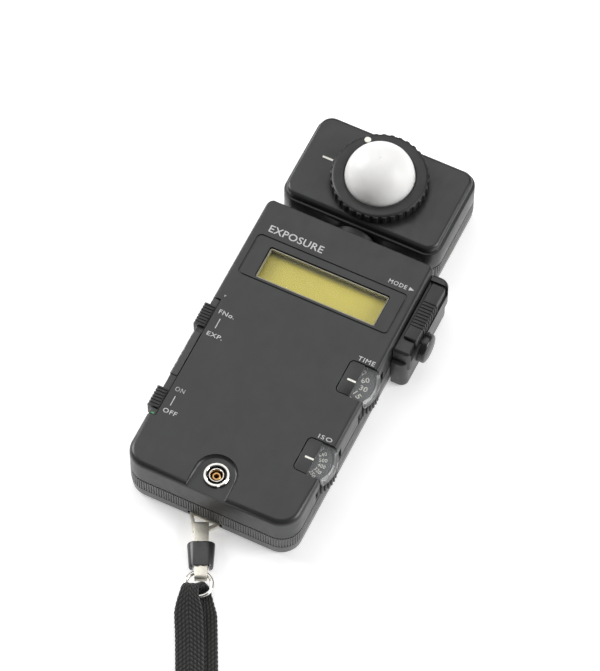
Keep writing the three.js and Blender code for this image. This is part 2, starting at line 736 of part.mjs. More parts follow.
// ---- Assembly ----
function caseGroup() {
  const group = new THREE.Group();
  const { microswitch } = buttonParts();
    group.add(
    node("front_cover", frontCover(), caseBlack()),
    node("rear_cover", rearCover(), caseBlack()),
    ...caseScrews(),
    ...displayParts(),
    circuitBoard(),
    ...DIALS.flatMap((dial) => dialParts(dial).fixed),
    node("switch_rail", switchRail(), caseBlack()),
    node("slide_switch_board", box(-23.7, -22.7, RECESS.y0, RECESS.y1, 13, 18.4), board()),
    node("side_housing", sideHousing(), caseBlack()),
    microswitch,
    ...syncParts(),
    ...batteryParts(),
    strapLug(),
  );
  return group;
}

function controls() {
  const { button, spring } = buttonParts();
  return [
    ...DIALS.flatMap((dial) => dialParts(dial).turning),
    node("power_switch_knob", slideKnob(POWER), partBlack()),
    node("function_switch_knob", slideKnob(FUNCTION), partBlack()),
    node("mode_slider", modeSlider(), partBlack()),
    button,
    spring,
    node("battery_door", batteryDoor(), caseBlack()),
  ];
}

function headGroup() {
  const group = new THREE.Group();
  group.add(
    ...swivelParts(),
    node("head_front_cover", headFrontCover(), caseBlack()),
    node("head_rear_cover", headRearCover(), caseBlack()),
    ...headScrews(),
    ...sensorParts(),
    node("diffuser_ring", diffuserRing(), partBlack()),
    node("diffuser_dome", diffuserDome(), finish(0xf2f1ec, 0.35)),
  );
  return group;
}

function strapGroup() {
  const group = new THREE.Group();
  group.add(strapTab(), strapSleeve(), strapRing(), wristStrap());
  group.position.set(STRAP.x, STRAP.y, 0);
  group.rotation.z = THREE.MathUtils.degToRad(STRAP.angle);
  return group;
}

const meter = new THREE.Group();
meter.add(caseGroup(), ...controls(), headGroup(), strapGroup());
meter.position.y = -ORIGIN_Y;

const root = new THREE.Group();
root.add(meter);

export default root;
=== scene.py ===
"""A handheld exposure meter: moulded case, swivelling sensor head, dials, switches and wrist strap."""

import logging
import math
from dataclasses import dataclass, field
from enum import Enum
from typing import Iterable, Sequence

import bmesh
import bpy
from mathutils import Matrix, Vector


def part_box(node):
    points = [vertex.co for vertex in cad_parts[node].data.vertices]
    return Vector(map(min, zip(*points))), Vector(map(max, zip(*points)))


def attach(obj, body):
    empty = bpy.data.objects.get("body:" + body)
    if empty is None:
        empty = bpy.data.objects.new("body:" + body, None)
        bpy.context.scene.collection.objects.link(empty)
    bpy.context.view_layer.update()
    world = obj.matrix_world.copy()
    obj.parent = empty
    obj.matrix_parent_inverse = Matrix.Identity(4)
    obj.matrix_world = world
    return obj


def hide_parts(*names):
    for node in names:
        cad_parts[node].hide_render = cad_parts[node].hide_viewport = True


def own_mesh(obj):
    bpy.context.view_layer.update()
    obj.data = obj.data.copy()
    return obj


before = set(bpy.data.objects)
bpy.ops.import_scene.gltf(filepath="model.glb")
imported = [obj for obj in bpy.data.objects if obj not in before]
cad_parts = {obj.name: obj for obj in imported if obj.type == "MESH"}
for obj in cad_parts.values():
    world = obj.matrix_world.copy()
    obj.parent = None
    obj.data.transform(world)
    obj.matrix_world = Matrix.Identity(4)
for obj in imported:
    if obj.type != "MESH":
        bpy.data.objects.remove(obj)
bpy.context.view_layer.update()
log = logging.getLogger("meter")

MM = 0.001
Point2 = tuple[float, float]
Point3 = tuple[float, float, float]
Solid = bmesh.types.BMesh
Piece = bpy.types.Object
Finish = bpy.types.Material
Socket = bpy.types.NodeSocket
Colour = tuple[float, float, float]


# ---------------------------------------------------------------- sizes from the frame
@dataclass(frozen=True)
class Extent:
    """The box of a CAD node in millimetres, in the row frame."""

    x0: float
    x1: float
    y0: float
    y1: float
    z0: float
    z1: float

    @classmethod
    def of(cls, node: str) -> "Extent":
        """Reads the box of one CAD node.

        Args:
            node: Name of the CAD node.

        Returns:
            The node's box in millimetres.
        """
        low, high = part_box(node)
        return cls(low[0] / MM, high[0] / MM, low[1] / MM, high[1] / MM, low[2] / MM, high[2] / MM)

    @property
    def centre(self) -> Point3:
        """The middle of the box."""
        return (self.x0 + self.x1) / 2, (self.y0 + self.y1) / 2, (self.z0 + self.z1) / 2


# ---------------------------------------------------------------- outlines and solids, in millimetres
def rounded(x0: float, x1: float, y0: float, y1: float, radii: Sequence[float], steps: int = 10) -> list[Point2]:
    """Outline of a rectangle with round corners, anticlockwise.

    Args:
        x0: Left side.
        x1: Right side.
        y0: Lower side.
        y1: Upper side.
        radii: Corner radii at lower left, lower right, upper right and upper left.
        steps: Straight pieces in each corner.

    Returns:
        The outline's points.
    """
    centres = [
        (x0 + radii[0], y0 + radii[0], 180),
        (x1 - radii[1], y0 + radii[1], 270),
        (x1 - radii[2], y1 - radii[2], 0),
        (x0 + radii[3], y1 - radii[3], 90),
    ]
    points = []
    for (cx, cy, start), radius in zip(centres, radii):
        for step in range(steps + 1):
            angle = math.radians(start + 90 * step / steps)
            points.append((cx + radius * math.cos(angle), cy + radius * math.sin(angle)))
    return points


def arc(cx: float, cy: float, radius: float, start: float, end: float, steps: int) -> list[Point2]:
    """Points on an arc, both ends included, with its angles in degrees."""
    angles = [math.radians(start + (end - start) * step / steps) for step in range(steps + 1)]
    return [(cx + radius * math.cos(angle), cy + radius * math.sin(angle)) for angle in angles]


def quarter(steps: int) -> list[Point2]:
    """How far a round edge has come in and has risen, from 0 to 1, at even steps of its turn."""
    turns = [math.pi / 2 * step / steps for step in range(steps + 1)]
    return [(1 - math.cos(turn), math.sin(turn)) for turn in turns]


def loft(layers: Sequence[tuple[Sequence[Point2], float]]) -> Solid:
    """Closed solid through outlines that lie at rising heights and have equal numbers of points."""
    bm = bmesh.new()
    rings = [[bm.verts.new((x, y, z)) for x, y in outline] for outline, z in layers]
    skin(bm, rings)
    bm.faces.new(list(reversed(rings[0])))
    bm.faces.new(rings[-1])
    return bm


def skin(bm: Solid, rings: Sequence[Sequence[bmesh.types.BMVert]]) -> None:
    """Joins each ring of points to the one after it."""
    for lower, upper in zip(rings, rings[1:]):
        for i, vert in enumerate(lower):
            j = (i + 1) % len(lower)
            bm.faces.new((vert, lower[j], upper[j], upper[i]))


def slab(x0: float, x1: float, y0: float, y1: float, z0: float, z1: float, radius: float = 0.02, edge: float = 0.0,
         foot: float = 0.0) -> Solid:
    """Block with round upright corners, a round upper rim and a round lower rim.

    Args:
        x0: Left side.
        x1: Right side.
        y0: Lower side in the plan.
        y1: Upper side in the plan.
        z0: Underside.
        z1: Top.
        radius: Radius of the upright corners.
        edge: Radius of the upper rim.
        foot: Radius of the lower rim.

    Returns:
        The closed block.
    """
    layers = []
    for rim, base, way in ((foot, z0, 1), (edge, z1, -1)):
        steps = quarter(4) if rim > 0 else [(1.0, 1.0)]
        for sink, rise in steps[::way]:
            inset = rim * (1 - rise)
            corner = [max(radius - inset, 0.01)] * 4
            outline = rounded(x0 + inset, x1 - inset, y0 + inset, y1 - inset, corner, 5)
            layers.append((outline, base + way * rim * sink))
    return loft(layers)


def turned(profile: Sequence[Point2], segments: int = 96) -> Solid:
    """Solid of revolution about Z.

    Args:
        profile: Radius and height pairs, going anticlockwise with the axis on the left.
        segments: Number of faces round the axis.

    Returns:
        The closed solid. A profile off the axis is closed on itself.
    """
    bm = bmesh.new()
    rings: list[list[bmesh.types.BMVert]] = []
    for radius, height in profile:
        if radius < 1e-6:
            rings.append([bm.verts.new((0, 0, height))])
            continue
        angles = [2 * math.pi * i / segments for i in range(segments)]
        rings.append([bm.verts.new((radius * math.cos(a), radius * math.sin(a), height)) for a in angles])
    closed = len(rings[0]) > 1
    pairs = list(zip(rings, rings[1:])) + ([(rings[-1], rings[0])] if closed else [])
    for lower, upper in pairs:
        for i in range(segments):
            j = (i + 1) % segments
            corners = [lower[i % len(lower)], lower[j % len(lower)], upper[j % len(upper)], upper[i % len(upper)]]
            bm.faces.new(list(dict.fromkeys(corners)))
    bmesh.ops.recalc_face_normals(bm, faces=bm.faces)
    return bm


def rod(start: Point3, end: Point3, radius: float, segments: int = 48) -> Solid:
    """Straight round bar between two points."""
    axis = Vector(end) - Vector(start)
    bm = turned([(0, 0), (radius, 0), (radius, axis.length), (0, axis.length)], segments)
    bm.transform(Matrix.Translation(start) @ axis.to_track_quat("Z", "Y").to_matrix().to_4x4())
    return bm


def moved(bm: Solid, x: float = 0, y: float = 0, z: float = 0,
          turn: Matrix | None = None) -> Solid:
    """Turns a solid about the origin and then shifts it."""
    bm.transform(Matrix.Translation((x, y, z)) @ (turn or Matrix.Identity(4)))
    return bm


def about(axis: str, degrees: float) -> Matrix:
    """Rotation matrix about X, Y or Z."""
    return Matrix.Rotation(math.radians(degrees), 4, axis)


def draft(name: str, bm: Solid) -> Piece:
    """Puts a solid into the scene as an unfinished piece in millimetres."""
    mesh = bpy.data.meshes.new(name)
    bm.to_mesh(mesh)
    bm.free()
    obj = bpy.data.objects.new(name, mesh)
    bpy.context.scene.collection.objects.link(obj)
    return obj


def discard(obj: Piece) -> None:
    """Removes a working object and its mesh."""
    mesh = obj.data
    bpy.data.objects.remove(obj)
    bpy.data.meshes.remove(mesh)


def freeze(obj: Piece) -> None:
    """Replaces an object's mesh with what its modifiers make of it, and removes them."""
    bpy.context.view_layer.update()
    graph = bpy.context.evaluated_depsgraph_get()
    mesh = bpy.data.meshes.new_from_object(obj.evaluated_get(graph))
    old = obj.data
    obj.modifiers.clear()
    obj.data = mesh
    bpy.data.meshes.remove(old)


class Boolean(Enum):
    """How working solids change the solid they meet."""

    CUT = "DIFFERENCE"
    ADD = "UNION"


def combine(obj: Piece, how: Boolean, solids: Iterable[Solid]) -> None:
    """Cuts solids out of a piece, or adds them to it.

    Args:
        obj: The piece.
        how: Whether the solids are cut out or added.
        solids: The working solids, which are used up.
    """
    tools = [draft("tool", solid) for solid in solids]
    for tool in tools:
        modifier = obj.modifiers.new("combine", "BOOLEAN")
        modifier.operation = how.value
        modifier.solver = "EXACT"
        modifier.object = tool
        tool.hide_render = True
    freeze(obj)
    for tool in tools:
        discard(tool)


def finish_piece(obj: Piece, material: Finish, body: str,
                 replaces: Sequence[str] = (), edge: float = 0.0, sharp: float = 32.0) -> Piece:
    """Rounds a piece's edges, brings it to metres, dresses it and hangs it on its body.

    Args:
        obj: The piece, in millimetres.
        material: Its finish.
        body: The CAD body that it moves with.
        replaces: CAD nodes that it stands for.
        edge: Radius of the bevel on its sharp edges, or 0 for none.
        sharp: Angle in degrees above which an edge stays sharp.

    Returns:
        The finished piece.
    """
    if edge > 0:
        bevel = obj.modifiers.new("edge", "BEVEL")
        bevel.width = edge
        bevel.segments = 2
        bevel.limit_method = "ANGLE"
        bevel.angle_limit = math.radians(sharp)
        bevel.use_clamp_overlap = True
        freeze(obj)
    mesh = obj.data
    mesh.transform(Matrix.Scale(MM, 4))
    mesh.shade_smooth()
    mesh.set_sharp_from_angle(angle=math.radians(sharp + 8))
    mesh.materials.clear()
    mesh.materials.append(material)
    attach(obj, body)
    if replaces:
        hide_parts(*replaces)
    log.info("%s: %d faces", obj.name, len(mesh.polygons))
    return obj


# ---------------------------------------------------------------- node trees
class NodeGraph:
    """Short hand for adding and joining the nodes of one tree."""

    def __init__(self, tree: bpy.types.NodeTree) -> None:
        """Takes the tree that the nodes go into."""
        self.tree = tree

    def node(self, kind: str, inputs: dict[str | int, object] | None = None, **settings: object) -> bpy.types.Node:
        """Adds a node.

        Args:
            kind: Blender's type name.
            inputs: Values or sockets for its inputs.
            **settings: Its properties.

        Returns:
            The new node.
        """
        node = self.tree.nodes.new(kind)
        for key, value in settings.items():
            setattr(node, key, value)
        for key, value in (inputs or {}).items():
            self.feed(node.inputs[key], value)
        return node

    def feed(self, socket: Socket, value: object) -> None:
        """Links a socket to another, or sets its value."""
        if isinstance(value, Socket):
            self.tree.links.new(value, socket)
        else:
            socket.default_value = value

    def sum(self, operation: str, *values: object) -> Socket:
        """Works out one step of arithmetic on sockets or numbers."""
        return self.node("ShaderNodeMath", dict(enumerate(values)), operation=operation).outputs[0]


class Repeat(NodeGraph):
    """A Geometry Nodes tree that sets copies of one small piece at places given by a rule."""

    def __init__(self, name: str, inputs: dict[str, str]) -> None:
        """Makes the tree with its named inputs.

        Args:
            name: Name of the tree.
            inputs: Input names and their socket types.
        """
        super().__init__(bpy.data.node_groups.new(name, "GeometryNodeTree"))
        sockets = {"Geometry": "NodeSocketGeometry", **inputs, "Piece": "NodeSocketObject",
                   "Finish": "NodeSocketMaterial"}
        for label, kind in sockets.items():
            self.tree.interface.new_socket(label, in_out="INPUT", socket_type=kind)
        self.tree.interface.new_socket("Geometry", in_out="OUTPUT", socket_type="NodeSocketGeometry")
        self.given = self.node("NodeGroupInput").outputs

    def set_pieces(self, places: Socket, turn: Socket | None = None) -> "Repeat":
        """Ends the tree: copies at the places, made real and given the finish.

        Args:
            places: Geometry whose points hold the copies.
            turn: Rotation of each copy, if they turn.

        Returns:
            The tree itself.
        """
        piece = self.node("GeometryNodeObjectInfo", {"Object": self.given["Piece"]}, transform_space="ORIGINAL")
        copies = self.node("GeometryNodeInstanceOnPoints", {"Points": places, "Instance": piece.outputs["Geometry"]})
        if turn is not None:
            self.feed(copies.inputs["Rotation"], turn)
        real = self.node("GeometryNodeRealizeInstances", {"Geometry": copies.outputs["Instances"]})
        inputs = {"Geometry": real.outputs["Geometry"], "Material": self.given["Finish"]}
        dressed = self.node("GeometryNodeSetMaterial", inputs)
        self.node("NodeGroupOutput", {"Geometry": dressed.outputs["Geometry"]})
        return self

    def make(self, name: str, host: Solid, piece: Solid, material: Finish,
             at: Point2 = (0.0, 0.0), **sizes: object) -> Piece:
        """Runs the tree and keeps its result as a plain mesh.

        Args:
            name: Name of the new piece.
            host: Mesh that the tree starts from.
            piece: The small piece that is repeated.
            material: Finish of the copies.
            at: Where the tree's origin goes.
            **sizes: Values of the tree's other inputs.

        Returns:
            The repeated pieces as one object in millimetres.
        """
        unit = draft(name + "_unit", piece)
        obj = draft(name, host)
        modifier = obj.modifiers.new("repeat", "NODES")
        modifier.node_group = self.tree
        sockets = {item.name: item.identifier for item in self.tree.interface.items_tree if item.in_out == "INPUT"}
        for label, value in {"Piece": unit, "Finish": material, **sizes}.items():
            modifier[sockets[label]] = value
        freeze(obj)
        discard(unit)
        obj.data.transform(Matrix.Translation((*at, 0)))
        return obj


def row_tree() -> Repeat:
    """Tree that sets copies in a straight row from the origin."""
    repeat = Repeat("pieces_in_a_row", {"Count": "NodeSocketInt", "Step": "NodeSocketVector"})
    inputs = {"Count": repeat.given["Count"], "Offset": repeat.given["Step"]}
    return repeat.set_pieces(repeat.node("GeometryNodeMeshLine", inputs, mode="OFFSET").outputs["Mesh"])


def ring_tree() -> Repeat:
    """Tree that sets copies on a circle about Z, each facing outwards along its own X."""
    repeat = Repeat("pieces_in_a_ring", {"Count": "NodeSocketInt", "Radius": "NodeSocketFloat"})
    inputs = {"Vertices": repeat.given["Count"], "Radius": repeat.given["Radius"]}
    circle = repeat.node("GeometryNodeMeshCircle", inputs)
    share = repeat.sum("DIVIDE", repeat.node("GeometryNodeInputIndex").outputs[0], repeat.given["Count"])
    spin = repeat.node("ShaderNodeCombineXYZ", {"Z": repeat.sum("MULTIPLY", share, 2 * math.pi)})
    return repeat.set_pieces(circle.outputs["Mesh"], spin.outputs[0])


def path_tree() -> Repeat:
    """Tree that sets copies along the host's edges at an even pitch, with X square to the path."""
    repeat = Repeat("pieces_along_a_path", {"Pitch": "NodeSocketFloat"})
    curve = repeat.node("GeometryNodeMeshToCurve", {"Mesh": repeat.given["Geometry"]})
    inputs = {"Curve": curve.outputs["Curve"], "Length": repeat.given["Pitch"]}
    even = repeat.node("GeometryNodeResampleCurve", inputs, mode="LENGTH")
    ahead = {"Vector": repeat.node("GeometryNodeInputTangent").outputs["Tangent"]}
    align = repeat.node("FunctionNodeAlignRotationToVector", ahead, axis="Y", pivot_axis="Z")
    return repeat.set_pieces(even.outputs["Curve"], align.outputs["Rotation"])


def place_tree() -> Repeat:
    """Tree that sets a copy at each of the host's points."""
    repeat = Repeat("pieces_at_points", {})
    return repeat.set_pieces(repeat.given["Geometry"])


def wire(points: Sequence[Point3]) -> Solid:
    """Mesh of points joined in order, as the path that a tree follows."""
    bm = bmesh.new()
    verts = [bm.verts.new(point) for point in points]
    for first, second in zip(verts, verts[1:]):
        bm.edges.new((first, second))
    return bm


def loose(points: Sequence[Point3]) -> Solid:
    """Mesh of separate points."""
    bm = bmesh.new()
    for point in points:
        bm.verts.new(point)
    return bm


# ---------------------------------------------------------------- finishes
def seed() -> Solid:
    """One point at the origin, for the trees that lay out their own places."""
    return loose([(0, 0, 0)])


class Shader(NodeGraph):
    """Short hand for the nodes of one material that ends in a Principled shader."""

    def __init__(self, name: str) -> None:
        """Makes an empty material with its shader and its object coordinates."""
        self.material = bpy.data.materials.new(name)
        self.material.use_nodes = True
        super().__init__(self.material.node_tree)
        self.surface = self.tree.nodes["Principled BSDF"]
        self.place = self.tree.nodes.new("ShaderNodeTexCoord").outputs["Object"]

    def axis(self, name: str, source: Socket | None = None) -> Socket:
        """One axis of a vector, which is the place on the piece if no other is given."""
        return self.node("ShaderNodeSeparateXYZ", {0: source or self.place}).outputs[name]

    def noise(self, size: float, detail: float = 2.0, stretch: Point3 = (1, 1, 1)) -> Socket:
        """Noise with features of a given size.

        Args:
            size: Size of its features in millimetres.
            detail: Levels of finer noise.
            stretch: How many times finer it is along each axis.

        Returns:
            The noise's value.
        """
        mapped = self.node("ShaderNodeMapping", {"Vector": self.place, "Scale": stretch})
        inputs = {"Vector": mapped.outputs[0], "Scale": 1 / (size * MM), "Detail": detail}
        return self.node("ShaderNodeTexNoise", inputs).outputs["Fac"]

    def spread(self, value: Socket, low: float, high: float, start: float = 0.3,
               end: float = 0.7) -> Socket:
        """Maps a value from start and end to low and high."""
        inputs = {"Value": value, "From Min": start, "From Max": end, "To Min": low, "To Max": high}
        return self.node("ShaderNodeMapRange", inputs).outputs[0]

    def blend(self, share: Socket, first: object, second: object) -> Socket:
        """Mixes two colours by a share."""
        node = self.node("ShaderNodeMix", data_type="RGBA")
        self.feed(node.inputs[0], share)
        for socket, value in ((node.inputs[6], first), (node.inputs[7], second)):
            self.feed(socket, (*value, 1.0) if isinstance(value, tuple) else value)
        return node.outputs[2]

    def bump(self, height: Socket, depth: float, strength: float = 1.0,
             under: Socket | None = None) -> Socket:
        """Bump from a height.

        Args:
            height: Height between 0 and 1.
            depth: What a height of 1 stands for, in millimetres.
            strength: How much of it shows.
            under: The normal of a coarser bump below it.

        Returns:
            The new normal.
        """
        node = self.node("ShaderNodeBump", {"Height": height, "Distance": depth * MM, "Strength": strength})
        if under is not None:
            self.feed(node.inputs["Normal"], under)
        return node.outputs[0]

    def dress(self, **inputs: object) -> Finish:
        """Sets the shader's own inputs, with spaces written as underscores, and returns the material."""
        for label, value in inputs.items():
            socket = self.surface.inputs[label.replace("_", " ")]
            if isinstance(value, tuple) and socket.type == "RGBA":
                value = (*value, 1.0)
            self.feed(socket, value)
        return self.material


def scaled(colour: Colour, factor: float) -> Colour:
    """A colour made lighter or darker."""
    return colour[0] * factor, colour[1] * factor, colour[2] * factor


@dataclass(frozen=True)
class MouldedPlastic:
    """Injection-moulded plastic with a spark-eroded grain, faint mottling and rubbed spots."""

    name: str
    colour: Colour
    roughness: float = 0.4
    grain: float = 0.22
    depth: float = 0.006
    gloss: float = 0.5
    rub: Point2 | None = None

    def material(self) -> Finish:
        """Builds the material, rubbed bright on the edge that rub gives by its X and Z."""
        shader = Shader(self.name)
        mottle = shader.noise(9.0, 3)
        rubbed = shader.noise(2.6, 5, (1, 0.5, 1))
        grain = shader.noise(self.grain, 2)
        base = shader.blend(shader.spread(mottle, 0, 1), scaled(self.colour, 0.9), scaled(self.colour, 1.1))
        worn = shader.blend(shader.spread(rubbed, 0, 0.35, 0.66, 0.76), base, scaled(self.colour, 1.6))
        if self.rub is not None:
            x, z = self.rub
            side = shader.spread(shader.axis("X"), 1, 0, (x + 0.25) * MM, (x + 0.5) * MM)
            rise = shader.spread(shader.axis("Z"), 0, 1, (z - 1.0) * MM, (z - 0.5) * MM)
            patch = shader.spread(shader.noise(1.6, 3), 0, 0.7, 0.4, 0.6)
            bare = shader.sum("MULTIPLY", shader.sum("MULTIPLY", side, rise), patch)
            worn = shader.blend(bare, worn, (0.42, 0.42, 0.4))
        rough = shader.spread(rubbed, self.roughness - 0.05, self.roughness + 0.06)
        return shader.dress(
            Base_Color=worn,
            Roughness=rough,
            Specular_IOR_Level=self.gloss,
            Normal=shader.bump(grain, self.depth, 0.6),
        )


@dataclass(frozen=True)
class PlatedMetal:
    """Plated or polished metal with fine brushing and small stains."""

    name: str
    colour: Colour
    roughness: float = 0.2
    brushing: Point3 = (1, 1, 1)

    def material(self) -> Finish:
        """Builds the material."""
        shader = Shader(self.name)
        lines = shader.noise(0.35, 3, self.brushing)
        stains = shader.noise(2.2, 4)
        colour = shader.blend(shader.spread(stains, 0, 1, 0.45, 0.75), self.colour, scaled(self.colour, 0.8))
        rough = shader.spread(lines, self.roughness * 0.75, self.roughness * 1.35)
        return shader.dress(
            Base_Color=colour,
            Metallic=1.0,
            Roughness=rough,
            Normal=shader.bump(lines, 0.004, 0.5),
        )


@dataclass(frozen=True)
class ClearPlastic:
    """Clear acrylic with faint wiping marks."""

    name: str
    colour: Colour = (0.95, 0.97, 0.96)
    roughness: float = 0.05
    opacity: float = 1.0
    marks: float = 0.002
    clarity: float = 1.0

    def material(self) -> Finish:
        """Builds the material."""
        shader = Shader(self.name)
        wiped = shader.noise(0.8, 4, (1, 3, 1))
        return shader.dress(
            Base_Color=self.colour,
            Transmission_Weight=self.clarity,
            IOR=1.45,
            Alpha=self.opacity,
            Roughness=shader.spread(wiped, self.roughness * 0.5, self.roughness * 1.6),
            Normal=shader.bump(wiped, self.marks, 0.3),
        )


@dataclass(frozen=True)
class OpalPlastic:
    """White translucent plastic, a little warmer where it is thick."""

    name: str
    colour: Colour = (0.86, 0.85, 0.83)

    def material(self) -> Finish:
        """Builds the material."""
        shader = Shader(self.name)
        cloud = shader.noise(4.0, 3)
        dust = shader.noise(0.25, 2)
        return shader.dress(
            Base_Color=shader.blend(shader.spread(cloud, 0, 1), scaled(self.colour, 0.97), self.colour),
            Subsurface_Weight=0.55,
            Subsurface_Radius=(0.9, 0.85, 0.8),
            Subsurface_Scale=3 * MM,
            Roughness=shader.spread(dust, 0.34, 0.46),
            Normal=shader.bump(dust, 0.003, 0.4),
        )


@dataclass(frozen=True)
class Paint:
    """Printed ink or paint, slightly uneven and rubbed thin in places."""

    name: str
    colour: Colour
    rubbed: float = 0.0

    def material(self) -> Finish:
        """Builds the material."""
        shader = Shader(self.name)
        speck = shader.noise(0.35, 4)
        thin = shader.spread(speck, 0, 1, 0.62 - self.rubbed, 0.7 - self.rubbed)
        colour = shader.blend(thin, self.colour, scaled(self.colour, 0.45))
        return shader.dress(Base_Color=colour, Roughness=0.55, Normal=shader.bump(speck, 0.004, 0.4))


@dataclass(frozen=True)
class LiquidCrystal:
    """Reflective liquid crystal panel, with a painted grey shade under its upper edge."""

    name: str
    colour: Colour
    painted_shade: Colour
    edge_y: float
    depth: float

    def material(self) -> Finish:
        """Builds the material."""
        shader = Shader(self.name)
        # Painted shade: a grey band that fades in towards the window's upper edge, standing in for the shade cast
        # there.
        near = shader.spread(shader.axis("Y"), 0, 1, (self.edge_y - self.depth) * MM, self.edge_y * MM)
        cloud = shader.noise(7.0, 2)
        base = shader.blend(shader.spread(cloud, 0, 1), self.colour, scaled(self.colour, 1.08))
        cells = shader.noise(0.2, 1, (1, 4, 1))
        return shader.dress(
            Base_Color=shader.blend(near, base, self.painted_shade),
            Roughness=shader.spread(cells, 0.3, 0.45),
            Normal=shader.bump(cells, 0.002, 0.3),
        )


@dataclass(frozen=True)
class Laminate:
    """Circuit board or phenolic wafer with a pattern of tracks under its lacquer."""

    name: str
    colour: Colour
    track: Colour
    pitch: float = 2.0

    def material(self) -> Finish:
        """Builds the material."""
        shader = Shader(self.name)
        inputs = {"Vector": shader.place, "Scale": 1 / (self.pitch * MM)}
        cell = shader.node("ShaderNodeTexVoronoi", inputs, distance="MANHATTAN").outputs["Distance"]
        lines = shader.spread(cell, 0, 1, 0.42, 0.46)
        return shader.dress(
            Base_Color=shader.blend(lines, self.colour, self.track),
            Roughness=shader.spread(shader.noise(1.0), 0.25, 0.4),
            Normal=shader.bump(lines, 0.02, 0.5),
        )


@dataclass(frozen=True)
class FoilJacket:
    """Printed jacket of a dry cell, in two bands along Y with a fine line between them."""

    name: str
    body: Colour
    band: Colour
    border_y: float

    def material(self) -> Finish:
        """Builds the material."""
        shader = Shader(self.name)
        share = shader.spread(shader.axis("Y"), 0, 1, (self.border_y - 0.1) * MM, (self.border_y + 0.1) * MM)
        scuffs = shader.noise(1.4, 5, (1, 0.3, 1))
        return shader.dress(
            Base_Color=shader.blend(share, self.body, self.band),
            Metallic=0.5,
            Roughness=shader.spread(scuffs, 0.22, 0.42),
            Normal=shader.bump(scuffs, 0.01, 0.4),
        )


@dataclass(frozen=True)
class WovenTape:
    """Coarse woven tape: slanting yarns that meet in a chevron along the middle, with a fuzzy surface."""

    name: str
    dark: Colour
    light: Colour
    pitch: float = 1.5

    def material(self) -> Finish:
        """Builds the material from the tape's own map: U along it and V across, in millimetres."""
        shader = Shader(self.name)
        mapped = shader.node("ShaderNodeUVMap", uv_map="tape").outputs[0]
        fold = shader.sum("ABSOLUTE", shader.axis("Y", mapped))
        along = shader.sum("ADD", shader.axis("X", mapped), shader.sum("MULTIPLY", fold, 0.85))
        yarn = self.wave(shader, along, self.pitch)
        rows = self.wave(shader, fold, self.pitch * 0.75)
        height = shader.sum("MULTIPLY", yarn, rows)
        fuzz = shader.noise(0.12, 3)
        colour = shader.blend(shader.spread(height, 0, 1, 0.0, 0.8), self.dark, self.light)
        hairy = shader.blend(shader.spread(fuzz, 0, 0.5, 0.5, 0.8), colour, scaled(self.light, 1.5))
        normal = shader.bump(height, 0.5, 0.9)
        return shader.dress(
            Base_Color=hairy,
            Roughness=0.9,
            Sheen_Weight=0.25,
            Sheen_Roughness=0.5,
            Specular_IOR_Level=0.25,
            Normal=shader.bump(fuzz, 0.06, 0.6, normal),
        )

    @staticmethod
    def wave(shader: Shader, value: Socket, pitch: float) -> Socket:
        """Rounded ridges of a given pitch in millimetres."""
        return shader.sum("ABSOLUTE", shader.sum("SINE", shader.sum("MULTIPLY", value, math.pi / pitch)))


